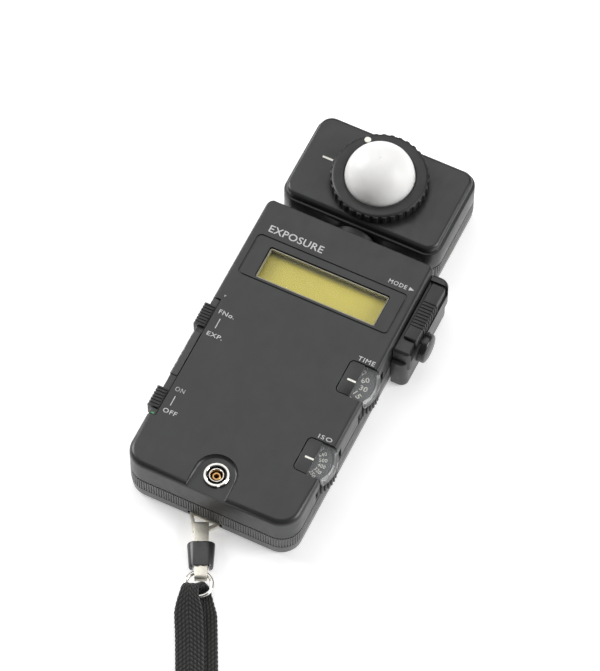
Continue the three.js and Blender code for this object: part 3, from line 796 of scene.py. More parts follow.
@dataclass
class Palette:
    """Every finish of the meter, built once."""

    made: dict[str, Finish] = field(default_factory=dict)

    def __post_init__(self) -> None:
        """Builds the materials under short names."""
        display = Extent.of("display_window")
        rail = Extent.of("switch_rail")
        finishes = [
            MouldedPlastic("case_charcoal", (0.019, 0.0195, 0.0205), 0.34, 0.22, 0.007, 0.5),
            # A lighter copy of the case plastic for the rear covers and grip ribs: painted light on the lower side
            # walls.
            MouldedPlastic("band_charcoal_painted_light", (0.05, 0.0495, 0.048), 0.33, 0.22, 0.006, 0.9),
            MouldedPlastic("control_black", (0.013, 0.013, 0.0135), 0.4, 0.3, 0.008, 0.5),
            MouldedPlastic("rubbed_edge", (0.024, 0.0245, 0.025), 0.34, 0.22, 0.008, 0.6, (rail.x0, rail.z1)),
            MouldedPlastic("button_grey", (0.009, 0.0092, 0.0095), 0.24, 0.4, 0.003, 0.6),
            MouldedPlastic("scale_grey", (0.06, 0.062, 0.065), 0.55, 0.3, 0.004, 0.3),
            MouldedPlastic("socket_nylon", (0.5, 0.46, 0.38), 0.5, 0.3, 0.006, 0.4),
            MouldedPlastic("sleeve_black", (0.022, 0.022, 0.023), 0.3, 0.5, 0.004, 0.6),
            MouldedPlastic("cell_blue", (0.02, 0.025, 0.06), 0.15, 0.6, 0.003, 0.6),
            PlatedMetal("bright_chrome", (0.7, 0.69, 0.66), 0.13),
            PlatedMetal("worn_nickel", (0.72, 0.69, 0.62), 0.3, (1, 1, 0.2)),
            PlatedMetal("satin_nickel", (0.8, 0.77, 0.68), 0.5),
            PlatedMetal("socket_gold", (0.52, 0.32, 0.13), 0.26),
            ClearPlastic("display_acrylic", (0.97, 0.96, 0.9), 0.02, 0.16, 0.0003),
            ClearPlastic("dial_acrylic", (0.62, 0.64, 0.64), 0.06, 0.085, 0.0003, 0.0),
            # Pale frosted plastic for the window skirts: a frosted edge, and its paleness is also a painted highlight
            # along the window's rim.
            ClearPlastic("dial_frost_and_highlight", (0.9, 0.92, 0.91), 0.35, 0.6),
            MouldedPlastic("pane_frost", (0.34, 0.33, 0.26), 0.5, 0.4, 0.004, 0.3),
            ClearPlastic("filter_glass", (0.6, 0.75, 0.75), 0.03),
            OpalPlastic("dome_opal"),
            Paint("print_grey", (0.5, 0.51, 0.5), 0.03),
            Paint("print_worn", (0.42, 0.43, 0.42), 0.14),
            Paint("index_white", (0.85, 0.84, 0.76)),
            Paint("power_green", (0.05, 0.38, 0.12)),
            # The panel's second colour is a painted shade along its upper edge.
            LiquidCrystal("display_olive", (0.52, 0.45, 0.085), (0.36, 0.35, 0.25), display.y1 - 1.7, 1.8),
            Laminate("board_green", (0.03, 0.13, 0.06), (0.09, 0.26, 0.12)),
            Laminate("wafer_brown", (0.16, 0.08, 0.03), (0.3, 0.17, 0.06), 1.4),
            FoilJacket("cell_jacket", (0.02, 0.02, 0.022), (0.6, 0.36, 0.1), Extent.of("battery_cell").y1 - 15),
            WovenTape("strap_weave", (0.006, 0.006, 0.006), (0.04, 0.04, 0.038)),
        ]
        for each in finishes:
            self.made[each.name] = each.material()

    def __getitem__(self, name: str) -> Finish:
        """The material of that name."""
        return self.made[name]


# ---------------------------------------------------------------- studio
def hang(name: str, data: bpy.types.ID, at: Point3, aim: Point3) -> Piece:
    """Puts a camera or a light at a place and turns it to face a point.

    Args:
        name: Its name.
        data: The camera or the light.
        at: Its place in metres.
        aim: The point it faces.

    Returns:
        The new object.
    """
    obj = bpy.data.objects.new(name, data)
    obj.location = at
    obj.rotation_euler = (Vector(aim) - Vector(at)).to_track_quat("-Z", "Y").to_euler()
    bpy.context.scene.collection.objects.link(obj)
    return obj


@dataclass
class Studio:
    """Floor, lights and camera."""

    camera_at: Point3 = (0.30428, -0.6129, 1.26557)
    aim: Point3 = (-0.00353, 0.0217, 0.0)
    lens: float = 245.84

    def build(self) -> None:
        """Makes the floor, the lights and the camera."""
        self.camera()
        self.floor()
        self.world()
        self.softbox("far_light", (-0.3, 0.7, 1.45), 1.5, 10.0)
        self.softbox("left_light", (-1.4, 0.15, 0.85), 0.9, 20.5)
        self.softbox("right_light", (1.45, 0.35, 0.85), 0.9, 20.5)
        log.info("studio ready")

    def camera(self) -> None:
        """Sets the camera and makes it the scene's own."""
        data = bpy.data.cameras.new("camera")
        data.lens = self.lens
        data.sensor_width = 36.0
        bpy.context.scene.camera = hang("camera", data, self.camera_at, self.aim)

    def floor(self) -> None:
        """Lays a pale matt floor."""
        shader = Shader("pale_floor")
        grain = shader.noise(3.0, 2)
        material = shader.dress(Base_Color=shader.blend(grain, (0.9, 0.9, 0.9), (0.93, 0.93, 0.93)), Roughness=0.8,
                                Emission_Color=(1.0, 1.0, 1.0), Emission_Strength=0.38)
        bm = bmesh.new()
        bmesh.ops.create_grid(bm, x_segments=1, y_segments=1, size=4.0)
        obj = draft("floor", bm)
        obj.data.materials.append(material)

    @staticmethod
    def world() -> None:
        """Fills the room with a weak even light."""
        world = bpy.data.worlds.new("room")
        world.use_nodes = True
        background = world.node_tree.nodes["Background"]
        background.inputs["Color"].default_value = (1.0, 1.0, 1.0, 1.0)
        background.inputs["Strength"].default_value = 0.18
        bpy.context.scene.world = world
        bpy.context.scene.view_settings.view_transform = "Standard"

    @staticmethod
    def softbox(name: str, at: Point3, size: float, power: float) -> None:
        """Hangs a square soft light that faces the origin.

        Args:
            name: Its name.
            at: Its place in metres.
            size: Its side in metres.
            power: Its power in watts.
        """
        data = bpy.data.lights.new(name, "AREA")
        data.size = size
        data.energy = power
        hang(name, data, at, (0, 0, 0))


# ---------------------------------------------------------------- wrist strap
@dataclass
class WristStrap:
    """Doubled webbing on a wire ring, a folded metal tab with its sleeve, and the lug on the case.

    The strap is laid out along -Y from the middle of the tab's fold and then turned into line.
    """

    palette: Palette
    pivot: Point2 = (-1.0, -53.15)
    angle: float = 25.9
    width: float = 9.0
    thick: float = 1.2
    ring_at: Point3 = (-0.6, -20.4, 3.0)
    ring_radius: float = 4.1
    wire_size: float = 1.3
    yarn: float = 1.5
    yarn_slant: float = 3.8
    gather_y: float = 22.0
    gather_reach: float = 9.0
    route: tuple[Point3, ...] = (
        (-1.4, -20.9, 2.8),
        (0.1, -21.9, 1.25),
        (0.6, -24.5, 0.95),
        (0.6, -28, 0.95),
        (0.9, -40, 0.95),
        (0.9, -60.1, 0.95),
        (-1.9, -85.1, 0.95),
        (-7.8, -109.6, 0.95),
        (-16.5, -133.2, 0.95),
        (-25.5, -154.4, 0.95),
        (-31.5, -167, 0.95),
        (-35.1, -175.3, 1.3),
        (-37.1, -180.4, 3.2),
        (-37.6, -181.8, 5.6),
        (-36.7, -179.5, 7.6),
        (-34.4, -173.4, 7.4),
        (-30.5, -162.1, 4.6),
        (-25.9, -147.7, 2.5),
        (-20.3, -131.7, 2.5),
        (-12.1, -108.3, 2.5),
        (-6.2, -84.3, 2.5),
        (-3.3, -59.8, 2.5),
        (-3.2, -40, 2.6),
        (-3.6, -30, 3.8),
        (-3.6, -25, 4.65),
        (-3.0, -21.9, 4.45),
    )

    def placed(self) -> Matrix:
        """The matrix that brings the strap into line with its swing."""
        return Matrix.Translation((self.pivot[0], self.pivot[1], 0)) @ about("Z", self.angle)

    def build(self) -> None:
        """Makes the webbing and what it hangs on."""
        pieces = [self.tab(), self.sleeve(), self.ring()]
        self.webbing()
        self.lug()

    def path(self, spacing: float = 0.75) -> list[Vector]:
        """Even points on the smooth closed loop through the route.

        Args:
            spacing: Distance between them in millimetres.

        Returns:
            The points, laid along -Y, without the first one again at the end.
        """
        points = [Vector(point) for point in self.route]
        count = len(points)
        dense: list[Vector] = []
        for i in range(count):
            before, start, end, after = (points[(i + k) % count] for k in (-1, 0, 1, 2))
            gaps = [max((b - a).length, 1e-6) ** 0.5 for a, b in ((before, start), (start, end), (end, after))]
            leave = (start - before) / gaps[0] - (end - before) / (gaps[0] + gaps[1]) + (end - start) / gaps[1]
            reach = (end - start) / gaps[1] - (after - start) / (gaps[1] + gaps[2]) + (after - end) / gaps[2]
            leave, reach = leave * gaps[1], reach * gaps[1]
            for step in range(40):
                t = step / 40
                blend = (2 * t**3 - 3 * t**2 + 1, t**3 - 2 * t**2 + t, 3 * t**2 - 2 * t**3, t**3 - t**2)
                dense.append(start * blend[0] + leave * blend[1] + end * blend[2] + reach * blend[3])
        lengths = [0.0]
        for a, b in zip(dense, dense[1:] + dense[:1]):
            lengths.append(lengths[-1] + (b - a).length)
        total = lengths[-1]
        samples = round(total / spacing)
        result, at = [], 0
        for i in range(samples):
            want = total * i / samples
            while lengths[at + 1] < want:
                at += 1
            share = (want - lengths[at]) / (lengths[at + 1] - lengths[at])
            result.append(dense[at].lerp(dense[(at + 1) % len(dense)], share))
        return result

    def webbing(self) -> None:
        """Weaves the tape: a flat section with bulging selvedges, bunched where it goes through the ring.
        """
        points = self.path()
        count = len(points)
        half = self.thick / 2
        section = [(u, 1) for u in (-1.0, -0.93, -0.75, -0.5, -0.25, 0, 0.25, 0.5, 0.75, 0.93, 1.0)]
        section += [(u, -1) for u, _ in reversed(section)]
        bm = bmesh.new()
        rings = []
        travelled = 0.0
        distances = []
        side = Vector((1, 0, 0))
        for i, point in enumerate(points):
            ahead = (points[(i + 1) % count] - points[i - 1]).normalized()
            across = (side - ahead * side.dot(ahead)).normalized()
            up = across.cross(ahead)
            near = min(1.0, max(0.0, (-point.y - self.gather_y) / self.gather_reach))
            bunch = 0.62 + 0.38 * near * near * (3 - 2 * near)
            yarn = abs(math.sin(math.pi * travelled / self.yarn))
            ring = []
            for u, face in section:
                rim = max(0.0, 1 - abs(u)) ** 0.5
                body = half * (0.45 + 0.55 * min(1.0, rim * 2.2))
                if abs(u) < 0.9:
                    body += 0.09 * math.cos(math.pi * (travelled + self.yarn_slant * abs(u)) / self.yarn)
                reach = self.width / 2 * bunch - 0.16 * (1 - yarn) * (abs(u) > 0.9)
                ring.append(bm.verts.new(point + across * u * reach + up * face * body / bunch**0.5))
            rings.append(ring)
            distances.append(travelled)
            travelled += (points[(i + 1) % count] - point).length
        self.skin(bm, rings, distances, travelled, section)
        bm.transform(self.placed())
        obj = draft("webbing_loop", bm)
        finish_piece(obj, self.palette["strap_weave"], "strap", ["wrist_strap"])
        log.info("webbing %.1f mm long", travelled)

    def skin(self, bm: Solid, rings: Sequence[Sequence[bmesh.types.BMVert]], distances: Sequence[float],
             total: float, section: Sequence[Point2]) -> None:
        """Joins the sections into a closed loop and maps it.

        Args:
            bm: The mesh under construction.
            rings: Sections in order round the loop.
            distances: How far along the loop each one is.
            total: The loop's length.
            section: Place of each point across the tape, and its face.
        """
        layer = bm.loops.layers.uv.new("tape")
        count = len(section)
        for i, ring in enumerate(rings):
            following = rings[(i + 1) % len(rings)]
            ends = (distances[i], distances[i + 1] if i + 1 < len(rings) else total)
            for j in range(count):
                k = (j + 1) % count
                face = bm.faces.new((ring[j], following[j], following[k], ring[k]))
                corners = ((ends[0], section[j]), (ends[1], section[j]), (ends[1], section[k]), (ends[0], section[k]))
                for corner, (along, (across, _)) in zip(face.loops, corners):
                    corner[layer].uv = (along, across * self.width / 2)
        bmesh.ops.recalc_face_normals(bm, faces=bm.faces)

    def tab(self) -> Piece:
        """Folds the metal band that joins the lug and the ring."""
        path = [(-18.65, 1.65), (0.15, 1.65), (0.15, 4.35), (-18.65, 4.35)]
        bm = bmesh.new()
        corners = []
        for (y, z), (ny, nz) in zip(path, ((-1, -1), (1, -1), (1, 1), (-1, 1))):
            for turn in range(7):
                angle = math.radians(15 * turn)
                lead = (math.sin(angle), math.cos(angle)) if ny * nz < 0 else (math.cos(angle), math.sin(angle))
                corners.append((y - ny * 0.7 + ny * 0.7 * lead[0], z - nz * 0.7 + nz * 0.7 * lead[1], ny, nz, lead))
        rings = []
        for y, z, ny, nz, lead in corners:
            neck = -0.6 < y and 1.9 < z < 4.1
            half = 1.3 if neck else (2.0 if y < -15.6 else 2.35)
            inner = (y - ny * lead[0] * 0.35, z - nz * lead[1] * 0.35)
            outer = (y + ny * lead[0] * 0.35, z + nz * lead[1] * 0.35)
            rings.append([bm.verts.new((x, *at)) for x, at in
                          ((-half, outer), (half, outer), (half, inner), (-half, inner))])
        skin(bm, rings + rings[:1])
        bmesh.ops.recalc_face_normals(bm, faces=bm.faces)
        bm.transform(self.placed())
        obj = draft("folded_tab", bm)
        return finish_piece(obj, self.palette["satin_nickel"], "strap", ["strap_tab"], 0.12)

    def sleeve(self) -> Piece:
        """Moulds the tapered keeper that slides on the tab, with a shallow channel down its face."""
        length, top, foot = 8.2, 4.4, 3.8
        layers = []
        for share in (0.0, 0.02, 0.06, 0.5, 0.94, 0.98, 1.0):
            ends = 0.15 * (1 - min(1.0, min(share, 1 - share) / 0.06)) ** 2
            wide = foot + (top - foot) * share - ends
            ring = []
            for i in range(64):
                angle = 2 * math.pi * i / 64
                flat = abs(math.cos(angle)) ** 0.7 * math.copysign(1, math.cos(angle))
                dip = 0.3 * math.exp(-((flat * wide / 1.6) ** 2)) * (math.sin(angle) > 0)
                ring.append((wide * flat, (wide * 0.6 - dip) * math.sin(angle)))
            layers.append((ring, length * share))
        bm = loft(layers)
        bm.transform(self.placed() @ Matrix.Translation((0, -15.0, 3.05)) @ about("X", -90) @ about("Z", 180))
        obj = draft("tab_sleeve", bm)
        hole = slab(-2.5, 2.5, -30, 0, 1.0, 5.0)
        combine(obj, Boolean.CUT, [moved(hole, turn=self.placed())])
        return finish_piece(obj, self.palette["sleeve_black"], "strap", ["strap_sleeve"], 0.1)

    def ring(self) -> Piece:
        """Bends the wire ring, its two ends meeting at one side."""
        wire_radius = self.wire_size / 2
        profile = arc(self.ring_radius, 0, wire_radius, 0, 360, 20)[:-1]
        bm = turned(profile, 96)
        bm.transform(self.placed() @ Matrix.Translation(self.ring_at))
        obj = draft("wire_ring", bm)
        return finish_piece(obj, self.palette["bright_chrome"], "strap", ["strap_ring"])

    def lug(self) -> None:
        """Stamps the triangular loop in the strap end of the case."""
        box = Extent.of("strap_lug")
        x = (box.x0 + box.x1) / 2
        base, tip, mouth = box.y0 + 5.3, box.y0, box.y0 + 0.9
        outer = [(x - 5.05, base + 1.4), (x - 5.05, base), (x - 1.2, tip), (x + 1.2, tip), (x + 5.05, base),
                 (x + 5.05, base + 1.4)]
        inner = [(x - 3.75, base), (x, mouth), (x + 3.75, base)]
        obj = draft("lug_plate", loft([(outer, box.z0), (outer, box.z1)]))
        combine(obj, Boolean.CUT, [loft([(inner, box.z0 - 1), (inner, box.z1 + 1)])])
        root = slab(x - 4, x + 4, base + 1.3, box.y1, box.z0, box.z1)
        combine(obj, Boolean.ADD, [root])
        finish_piece(obj, self.palette["satin_nickel"], "case", ["strap_lug"], 0.25)


# ---------------------------------------------------------------- case
def frame_solid(outer: Sequence[Point2], inner: Sequence[Point2], z0: float, z1: float) -> Solid:
    """Flat closed frame between two outlines with equal numbers of points."""
    bm = bmesh.new()
    rings = []
    for outline, z in ((outer, z0), (outer, z1), (inner, z1), (inner, z0)):
        rings.append([bm.verts.new((x, y, z)) for x, y in outline])
    skin(bm, rings + rings[:1])
    bmesh.ops.recalc_face_normals(bm, faces=bm.faces)
    return bm


def screw_head(radius: float, z0: float, z1: float, tip: float) -> Solid:
    """Cross-recessed screw that faces down.

    Args:
        radius: Radius of the head.
        z0: Height of the head's face.
        z1: Height of the head's shoulder.
        tip: Height of the shank's end.

    Returns:
        The screw's solid.
    """
    profile = [(0, z0), (radius - 0.3, z0), (radius, z0 + 0.3), (radius, z1), (1.1, z1), (1.1, tip - 1), (0, tip)]
    obj = draft("screw", turned(profile, 32))
    arms = [slab(-1.3, 1.3, -0.28, 0.28, z0 - 1, z0 + 0.6), slab(-0.28, 0.28, -1.3, 1.3, z0 - 1, z0 + 0.6)]
    combine(obj, Boolean.CUT, arms)
    bm = bmesh.new()
    bm.from_mesh(obj.data)
    discard(obj)
    return bm


NECK_Z = 10.5
SWITCH_TRAVEL = {"power_switch_knob": 4.0, "function_switch_knob": 2.4}


def neck_hole(y0: float, y1: float) -> Solid:
    """Hole that the swivel neck passes through."""
    return rod((0, y0, NECK_Z), (0, y1, NECK_Z), 5.5)


def side_hole() -> Solid:
    """Hole in the right side behind the measuring button."""
    return slab(26.9, 31, 26.2, 33.2, 7.3, 13.5)


def tongue_slots() -> list[Solid]:
    """Slots that the tongues of the left knobs slide in."""
    slots = []
    for knob, travel in SWITCH_TRAVEL.items():
        middle = Extent.of(knob).centre[1]
        slots.append(slab(-29.5, -24, middle - 1.8, middle + 1.8 + travel, 16.0, 17.6))
    return slots


@dataclass
class RibbedShell:
    """What the body and the head share: a smooth foot, a ribbed grip band and screws from below."""

    palette: Palette
    repeats: dict[str, Repeat]
    rib_pitch: float = 0.85
    rib_depth: float = 0.28
    rib_half: float = 0.32
    band_foot: float = 4.9
    foot_inset: float = 0.3
    foot_rim: float = 1.4
    face: float = 21.0

    def outline(self, inset: float, top_inset: float | None = None) -> list[Point2]:
        """The covers' outline, moved inwards."""
        raise NotImplementedError

    def foot(self) -> list[tuple[list[Point2], float]]:
        """Layers from the rounded underside up to the floor of the grip band."""
        layers = [(self.outline(self.foot_inset + self.foot_rim * (1 - rise)), self.foot_rim * sink)
                  for sink, rise in quarter(6)]
        layers.append((self.outline(0), self.band_foot - 0.1))
        layers.append((self.outline(self.rib_depth), self.band_foot + 0.05))
        return layers

    def ribs(self, name: str, plan: Sequence[Point2], height: float, body: str) -> None:
        """Sets upright ribs on the floor of the grip band.

        Args:
            name: Name of the piece.
            plan: The line that they follow, seen from above.
            height: How tall they are.
            body: The CAD body.
        """
        path = wire([(x, y, self.band_foot + 0.05) for x, y in plan])
        rib = slab(-0.2, self.rib_depth, -self.rib_half, self.rib_half, 0, height, 0.2)
        # The ribs take the lightened band plastic, painted light on the side walls.
        finish = self.palette["band_charcoal_painted_light"]
        obj = self.repeats["path"].make(name, path, rib, finish, Pitch=self.rib_pitch)
        finish_piece(obj, finish, body)

    def screws(self, name: str, nodes: Sequence[str], tip: float, body: str) -> None:
        """Drives one screw in the place of each CAD screw.

        Args:
            name: Name of the piece.
            nodes: The CAD screws.
            tip: Height of the shanks' ends.
            body: The CAD body.
        """
        points = loose([(*Extent.of(node).centre[:2], 0) for node in nodes])
        finish = self.palette["worn_nickel"]
        obj = self.repeats["place"].make(name, points, screw_head(2.1, 0.3, 1.3, tip), finish)
        finish_piece(obj, finish, body, nodes, 0.06)


def counterbores(nodes: Sequence[str]) -> list[Solid]:
    """Holes for the heads of the CAD screws."""
    places = [Extent.of(node).centre for node in nodes]
    return [rod((x, y, -1), (x, y, 1.6), 2.4) for x, y, _ in places]


@dataclass
class CaseShell(RibbedShell):
    """The two moulded halves of the body, with ribbed grip bands, screws and battery door."""

    wall: float = 1.8
    corner: float = 7.0
    top_corner: float = 2.2
    rim: float = 2.0
    top_rim: float = 0.6
    fasteners: tuple[str, ...] = ("case_screw_1", "case_screw_2", "case_screw_3", "case_screw_4")
    rear: Extent = field(default_factory=lambda: Extent.of("rear_cover"))

    def build(self) -> None:
        """Makes both covers and what is on them."""
        self.front_cover()
        self.rear_cover()
        self.grip_band()
        self.screws("case_screws", self.fasteners, 10.9, "case")
        self.battery_door()

    def outline(self, inset: float, top_inset: float | None = None) -> list[Point2]:
        """The body's outline, moved inwards.

        Args:
            inset: How far the sides move inwards.
            top_inset: How far the end at the head moves, if it differs.

        Returns:
            The outline's points.
        """
        top = inset if top_inset is None else top_inset
        low = max(self.corner - inset, 0.05)
        high = max(self.top_corner - inset, 0.05)
        box = self.rear
        sides = (box.x0 + inset, box.x1 - inset, box.y0 + inset, box.y1 - top)
        return rounded(*sides, (low, low, high, high), 12)

    def cavity(self, z0: float, z1: float) -> Solid:
        """The hollow inside the walls."""
        box, w = self.rear, self.wall
        return slab(box.x0 + w, box.x1 - w, box.y0 + w, box.y1 - w, z0, z1, 5.0)

    def arch(self) -> Solid:
        """Recess for the sync socket, open to the strap end, with a rounded brim."""
        layers = []
        for inset, depth in ((1.0, 1.0), (0.8, 0.95), (0.45, 0.7), (0.15, 0.3), (0.0, 0.0), (-0.05, -1.0)):
            radius = 7.0 - inset
            outline = [(-0.5 - radius, -56.0), (-0.5 + radius, -56.0)]
            outline += arc(-0.5, -43.8, radius, 0, 180, 32)
            layers.append((outline, self.face - depth))
        return loft(layers)

    def front_cover(self) -> None:
        """Moulds the upper half and cuts its openings."""
        parting = self.rear.z1 + 0.3
        shoulder = self.face - self.rim
        layers = [(self.outline(0.3), parting), (self.outline(0), parting + 0.3), (self.outline(0), shoulder)]
        for sink, rise in quarter(10)[1:]:
            layers.append((self.outline(self.rim * sink, self.top_rim * sink), shoulder + self.rim * rise))
        obj = draft("front_shell", loft(layers))
        combine(obj, Boolean.CUT, [self.cavity(5, self.face - self.wall)])
        gutter = slab(-28.6, -24.6, -35.2, 13.7, 12.8, self.face - 1.4)
        pad = rod((-0.2, -43.7, 17.4), (-0.2, -43.7, 19.6), 6.8)
        combine(obj, Boolean.ADD, [gutter, pad])
        combine(obj, Boolean.CUT, self.openings())
        finish_piece(obj, self.palette["case_charcoal"], "case", ["front_cover"], 0.14)

    def groove(self) -> tuple[list[Point2], list[Point2]]:
        """Outer and inner outline of the groove round the display."""
        return rounded(-26.3, 26.0, 22.8, 39.0, (1.8,) * 4), rounded(-25.6, 25.3, 23.5, 38.3, (1.2,) * 4)

    def openings(self) -> list[Solid]:
        """Everything that is cut out of the front cover."""
        rail = Extent.of("switch_rail")
        display = Extent.of("display_window")
        x0, x1, y0, y1 = display.x0 + 2.0, display.x1 - 2.0, display.y0 + 1.6, display.y1 - 1.6
        cuts = [
            self.arch(),
            slab(-40, rail.x1 + 0.3, rail.y0 - 0.3, rail.y1 + 0.3, rail.z0 - 0.3, 24, 0.3),
            slab(x0, x1, y0, y1, 17, 22, 0.8),
            frame_solid(*self.groove(), 20.6, 22),
            rod((-0.2, -43.7, 15), (-0.2, -43.7, 22), 3.95),
            neck_hole(47, 53),
            side_hole(),
            *tongue_slots(),
        ]
        for wheel in ("time_dial_wheel", "speed_dial_wheel"):
            y = Extent.of(wheel).centre[1]
            cuts.append(slab(19.5, 40, y - 6.2, y + 6.25, 15.8, 22, 1.6))
            cuts.append(slab(26, 31, y - 9, y + 9, 8, 16.1))
        return cuts

    def rear_cover(self) -> None:
        """Moulds the lower half: smooth drafted foot, then the floor of the grip band."""
        top = self.rear.z1
        layers = self.foot()
        layers += [(self.outline(self.rib_depth), top - 0.1), (self.outline(self.rib_depth + 0.1), top)]
        obj = draft("rear_shell", loft(layers))
        door = Extent.of("battery_door")
        combine(obj, Boolean.CUT, [self.cavity(self.wall, 20)])
        cuts = [
            slab(door.x0 + 0.6, door.x1 - 0.6, door.y0 - 2.8, door.y1 + 0.3, -1, 1.25, 1.2),
            slab(door.x0 - 0.3, door.x1 + 0.3, door.y0 - 2.8, door.y1 + 0.3, 0.5, 1.25, 1.0),
            slab(-20.9, -6.1, -34, 20, -1, 3),
            slab(-6.9, 4.9, -53, -48, 2.1, 3.9),
            neck_hole(47, 53),
            side_hole(),
            *counterbores(self.fasteners),
        ]
        combine(obj, Boolean.CUT, cuts)
        # Lightened band plastic: painted light on the body's lower wall.
        finish_piece(obj, self.palette["band_charcoal_painted_light"], "case", ["rear_cover"], 0.12)

    def grip_band(self) -> None:
        """Sets upright ribs round three sides of the rear cover."""
        corners = 2 * 13
        box = self.rear
        side, end = box.x1 - self.rib_depth, box.y1 - 1.6
        plan = [(-side, end)] + self.outline(self.rib_depth)[:corners] + [(side, end)]
        self.ribs("grip_ribs", plan, box.z1 - self.band_foot - 0.25, "case")

    def battery_door(self) -> None:
        """Moulds the sliding door, with thumb ridges and an arrow at the end that it slides towards."""
        box = Extent.of("battery_door")
        x, _, _ = box.centre
        obj = draft("battery_hatch", slab(box.x0 + 0.9, box.x1 - 0.9, box.y0, box.y1, box.z0, box.z1, 1.0, 0, 0.15))
        combine(obj, Boolean.ADD, [slab(box.x0, box.x1, box.y0 + 0.3, box.y1 - 0.3, 0.7, box.z1 - 0.05, 0.8)])
        finish_piece(obj, self.palette["case_charcoal"], "door", ["battery_door"], 0.08)
        ridge = slab(-5, 5, -0.28, 0.28, 0.01, 0.3, 0.2)
        start = moved(ridge, x, box.y0 + 3.0)
        ridges = self.repeats["row"].make("door_ridges", seed(), start, self.palette["case_charcoal"],
                                          Count=7, Step=(0.0, 1.1, 0.0))
        finish_piece(ridges, self.palette["case_charcoal"], "door")
        arrow = loft([([(x, box.y0 + 12), (x + 2, box.y0 + 15), (x - 2, box.y0 + 15)], z) for z in (0.08, 0.2)])
        finish_piece(draft("door_arrow", arrow), self.palette["print_grey"], "door")


# ---------------------------------------------------------------- display
@dataclass
class Display:
    """Liquid crystal panel behind a clear pane with frosted sides."""

    palette: Palette
    rim: float = 0.3

    def build(self) -> None:
        """Makes the pane, its frosted rim and the panel."""
        pane = Extent.of("display_window")
        x0, x1, y0, y1 = pane.x0 + 2.3, pane.x1 - 2.3, pane.y0 + 1.9, pane.y1 - 1.9
        rim = self.rim
        raised = slab(x0 + rim + 0.02, x1 - rim - 0.02, y0 + rim + 0.02, y1 - rim - 0.02, 18.5, 20.6, 0.2, 0.08)
        obj = draft("clear_pane", raised)
        combine(obj, Boolean.ADD, [slab(pane.x0, pane.x1, pane.y0, pane.y1, 18.0, 18.9, 0.3)])
        finish_piece(obj, self.palette["display_acrylic"], "case", ["display_window"], 0.06)
        outer = rounded(x0, x1, y0, y1, (0.5,) * 4, 4)
        inner = rounded(x0 + rim, x1 - rim, y0 + rim, y1 - rim, (0.22,) * 4, 4)
        frosted = frame_solid(outer, inner, 18.92, 20.45)
        finish_piece(draft("pane_rim", frosted), self.palette["pane_frost"], "case")
        box = Extent.of("display_panel")
        panel = draft("crystal_panel", slab(box.x0, box.x1, box.y0, box.y1, box.z0, box.z1, 0.2, 0.1))
        finish_piece(panel, self.palette["display_olive"], "case", ["display_panel"])


# ---------------------------------------------------------------- lettering
def lettering(name: str, words: str, box: tuple[float, float, float, float], top: float, material: Finish,
              body: str, spread: float = 1.0, place: Matrix | None = None) -> Piece:
    """Prints words as a thin film that fills a rectangle.

    Args:
        name: Name of the piece.
        words: What is printed.
        box: Left, right, lower and upper side of the rectangle.
        top: Height of the printed face.
        material: The ink.
        body: The CAD body that it moves with.
        spread: Letter spacing.
        place: A further move of the finished print.

    Returns:
        The finished print.
    """
    curve = bpy.data.curves.new(name, "FONT")
    curve.body = words
    curve.space_character = spread
    curve.extrude = 0.02
    curve.offset = 0.012
    curve.resolution_u = 3
    holder = bpy.data.objects.new(name, curve)
    bpy.context.scene.collection.objects.link(holder)
    bpy.context.view_layer.update()
    graph = bpy.context.evaluated_depsgraph_get()
    mesh = bpy.data.meshes.new_from_object(holder.evaluated_get(graph))
    bpy.data.objects.remove(holder)
    xs = [vert.co.x for vert in mesh.vertices]
    ys = [vert.co.y for vert in mesh.vertices]
    x0, x1, y0, y1 = box
    size = ((x1 - x0) / (max(xs) - min(xs)), (y1 - y0) / (max(ys) - min(ys)), 1.0)
    fit = Matrix.Diagonal((*size, 1.0)) @ Matrix.Translation((-min(xs), -min(ys), -0.02))
    mesh.transform((place or Matrix.Identity(4)) @ Matrix.Translation((x0, y0, top + 0.012)) @ fit)
    obj = bpy.data.objects.new(name, mesh)
    bpy.context.scene.collection.objects.link(obj)
    return finish_piece(obj, material, body)


@dataclass
class FaceMarks:
    """Words, bars and arrows printed on the face."""

    palette: Palette
    top: float = 21.0
    film: Point2 = (-0.02, 0.015)

    def build(self) -> None:
        """Prints every mark."""
        ink = self.palette["print_grey"]
        worn = self.palette["print_worn"]
        film = [self.top + height for height in self.film]
        words = [
            ("mark_heading", "EXPOSURE", (-23.9, -5.2, 40.6, 43.2), ink, 1.05),
            ("mark_mode", "MODE", (18.0, 24.2, 40.4, 41.9), ink, 1.15),
            ("mark_time", "TIME", (21.3, 27.0, 11.2, 12.8), ink, 1.15),
            ("mark_speed", "ISO", (22.1, 26.7, -18.7, -17.2), ink, 1.2),
            ("mark_f_number", "FNo.", (-24.9, -19.6, 7.2, 8.8), ink, 1.1),
            ("mark_interval", "EXP.", (-24.9, -19.6, -1.2, 0.3), ink, 1.1),
            ("mark_on", "ON", (-24.9, -21.7, -23.2, -21.6), worn, 1.15),
            ("mark_off", "OFF", (-25.0, -20.4, -31.4, -29.8), ink, 1.15),
        ]
        for name, text, box, material, spread in words:
            lettering(name, text, box, self.top, material, "case", spread)
        bars = {"mark_function_bar": (-23.5, -23.2, 2.0, 5.7), "mark_power_bar": (-23.8, -23.5, -28.5, -24.9)}
        for name, (x0, x1, y0, y1) in bars.items():
            bar = slab(x0, x1, y0, y1, *film)
            finish_piece(draft(name, bar), ink, "case")
        arrows = {
            "mark_mode_arrow": [(25.0, 40.5), (26.7, 41.15), (25.0, 41.8)],
            "mark_switch_arrow": [(-25.7, 13.3), (-25.3, 14.0), (-26.1, 14.0)],
        }
        for name, outline in arrows.items():
            arrow = loft([(outline, z) for z in film])
            finish_piece(draft(name, arrow), worn if "switch" in name else ink, "case")


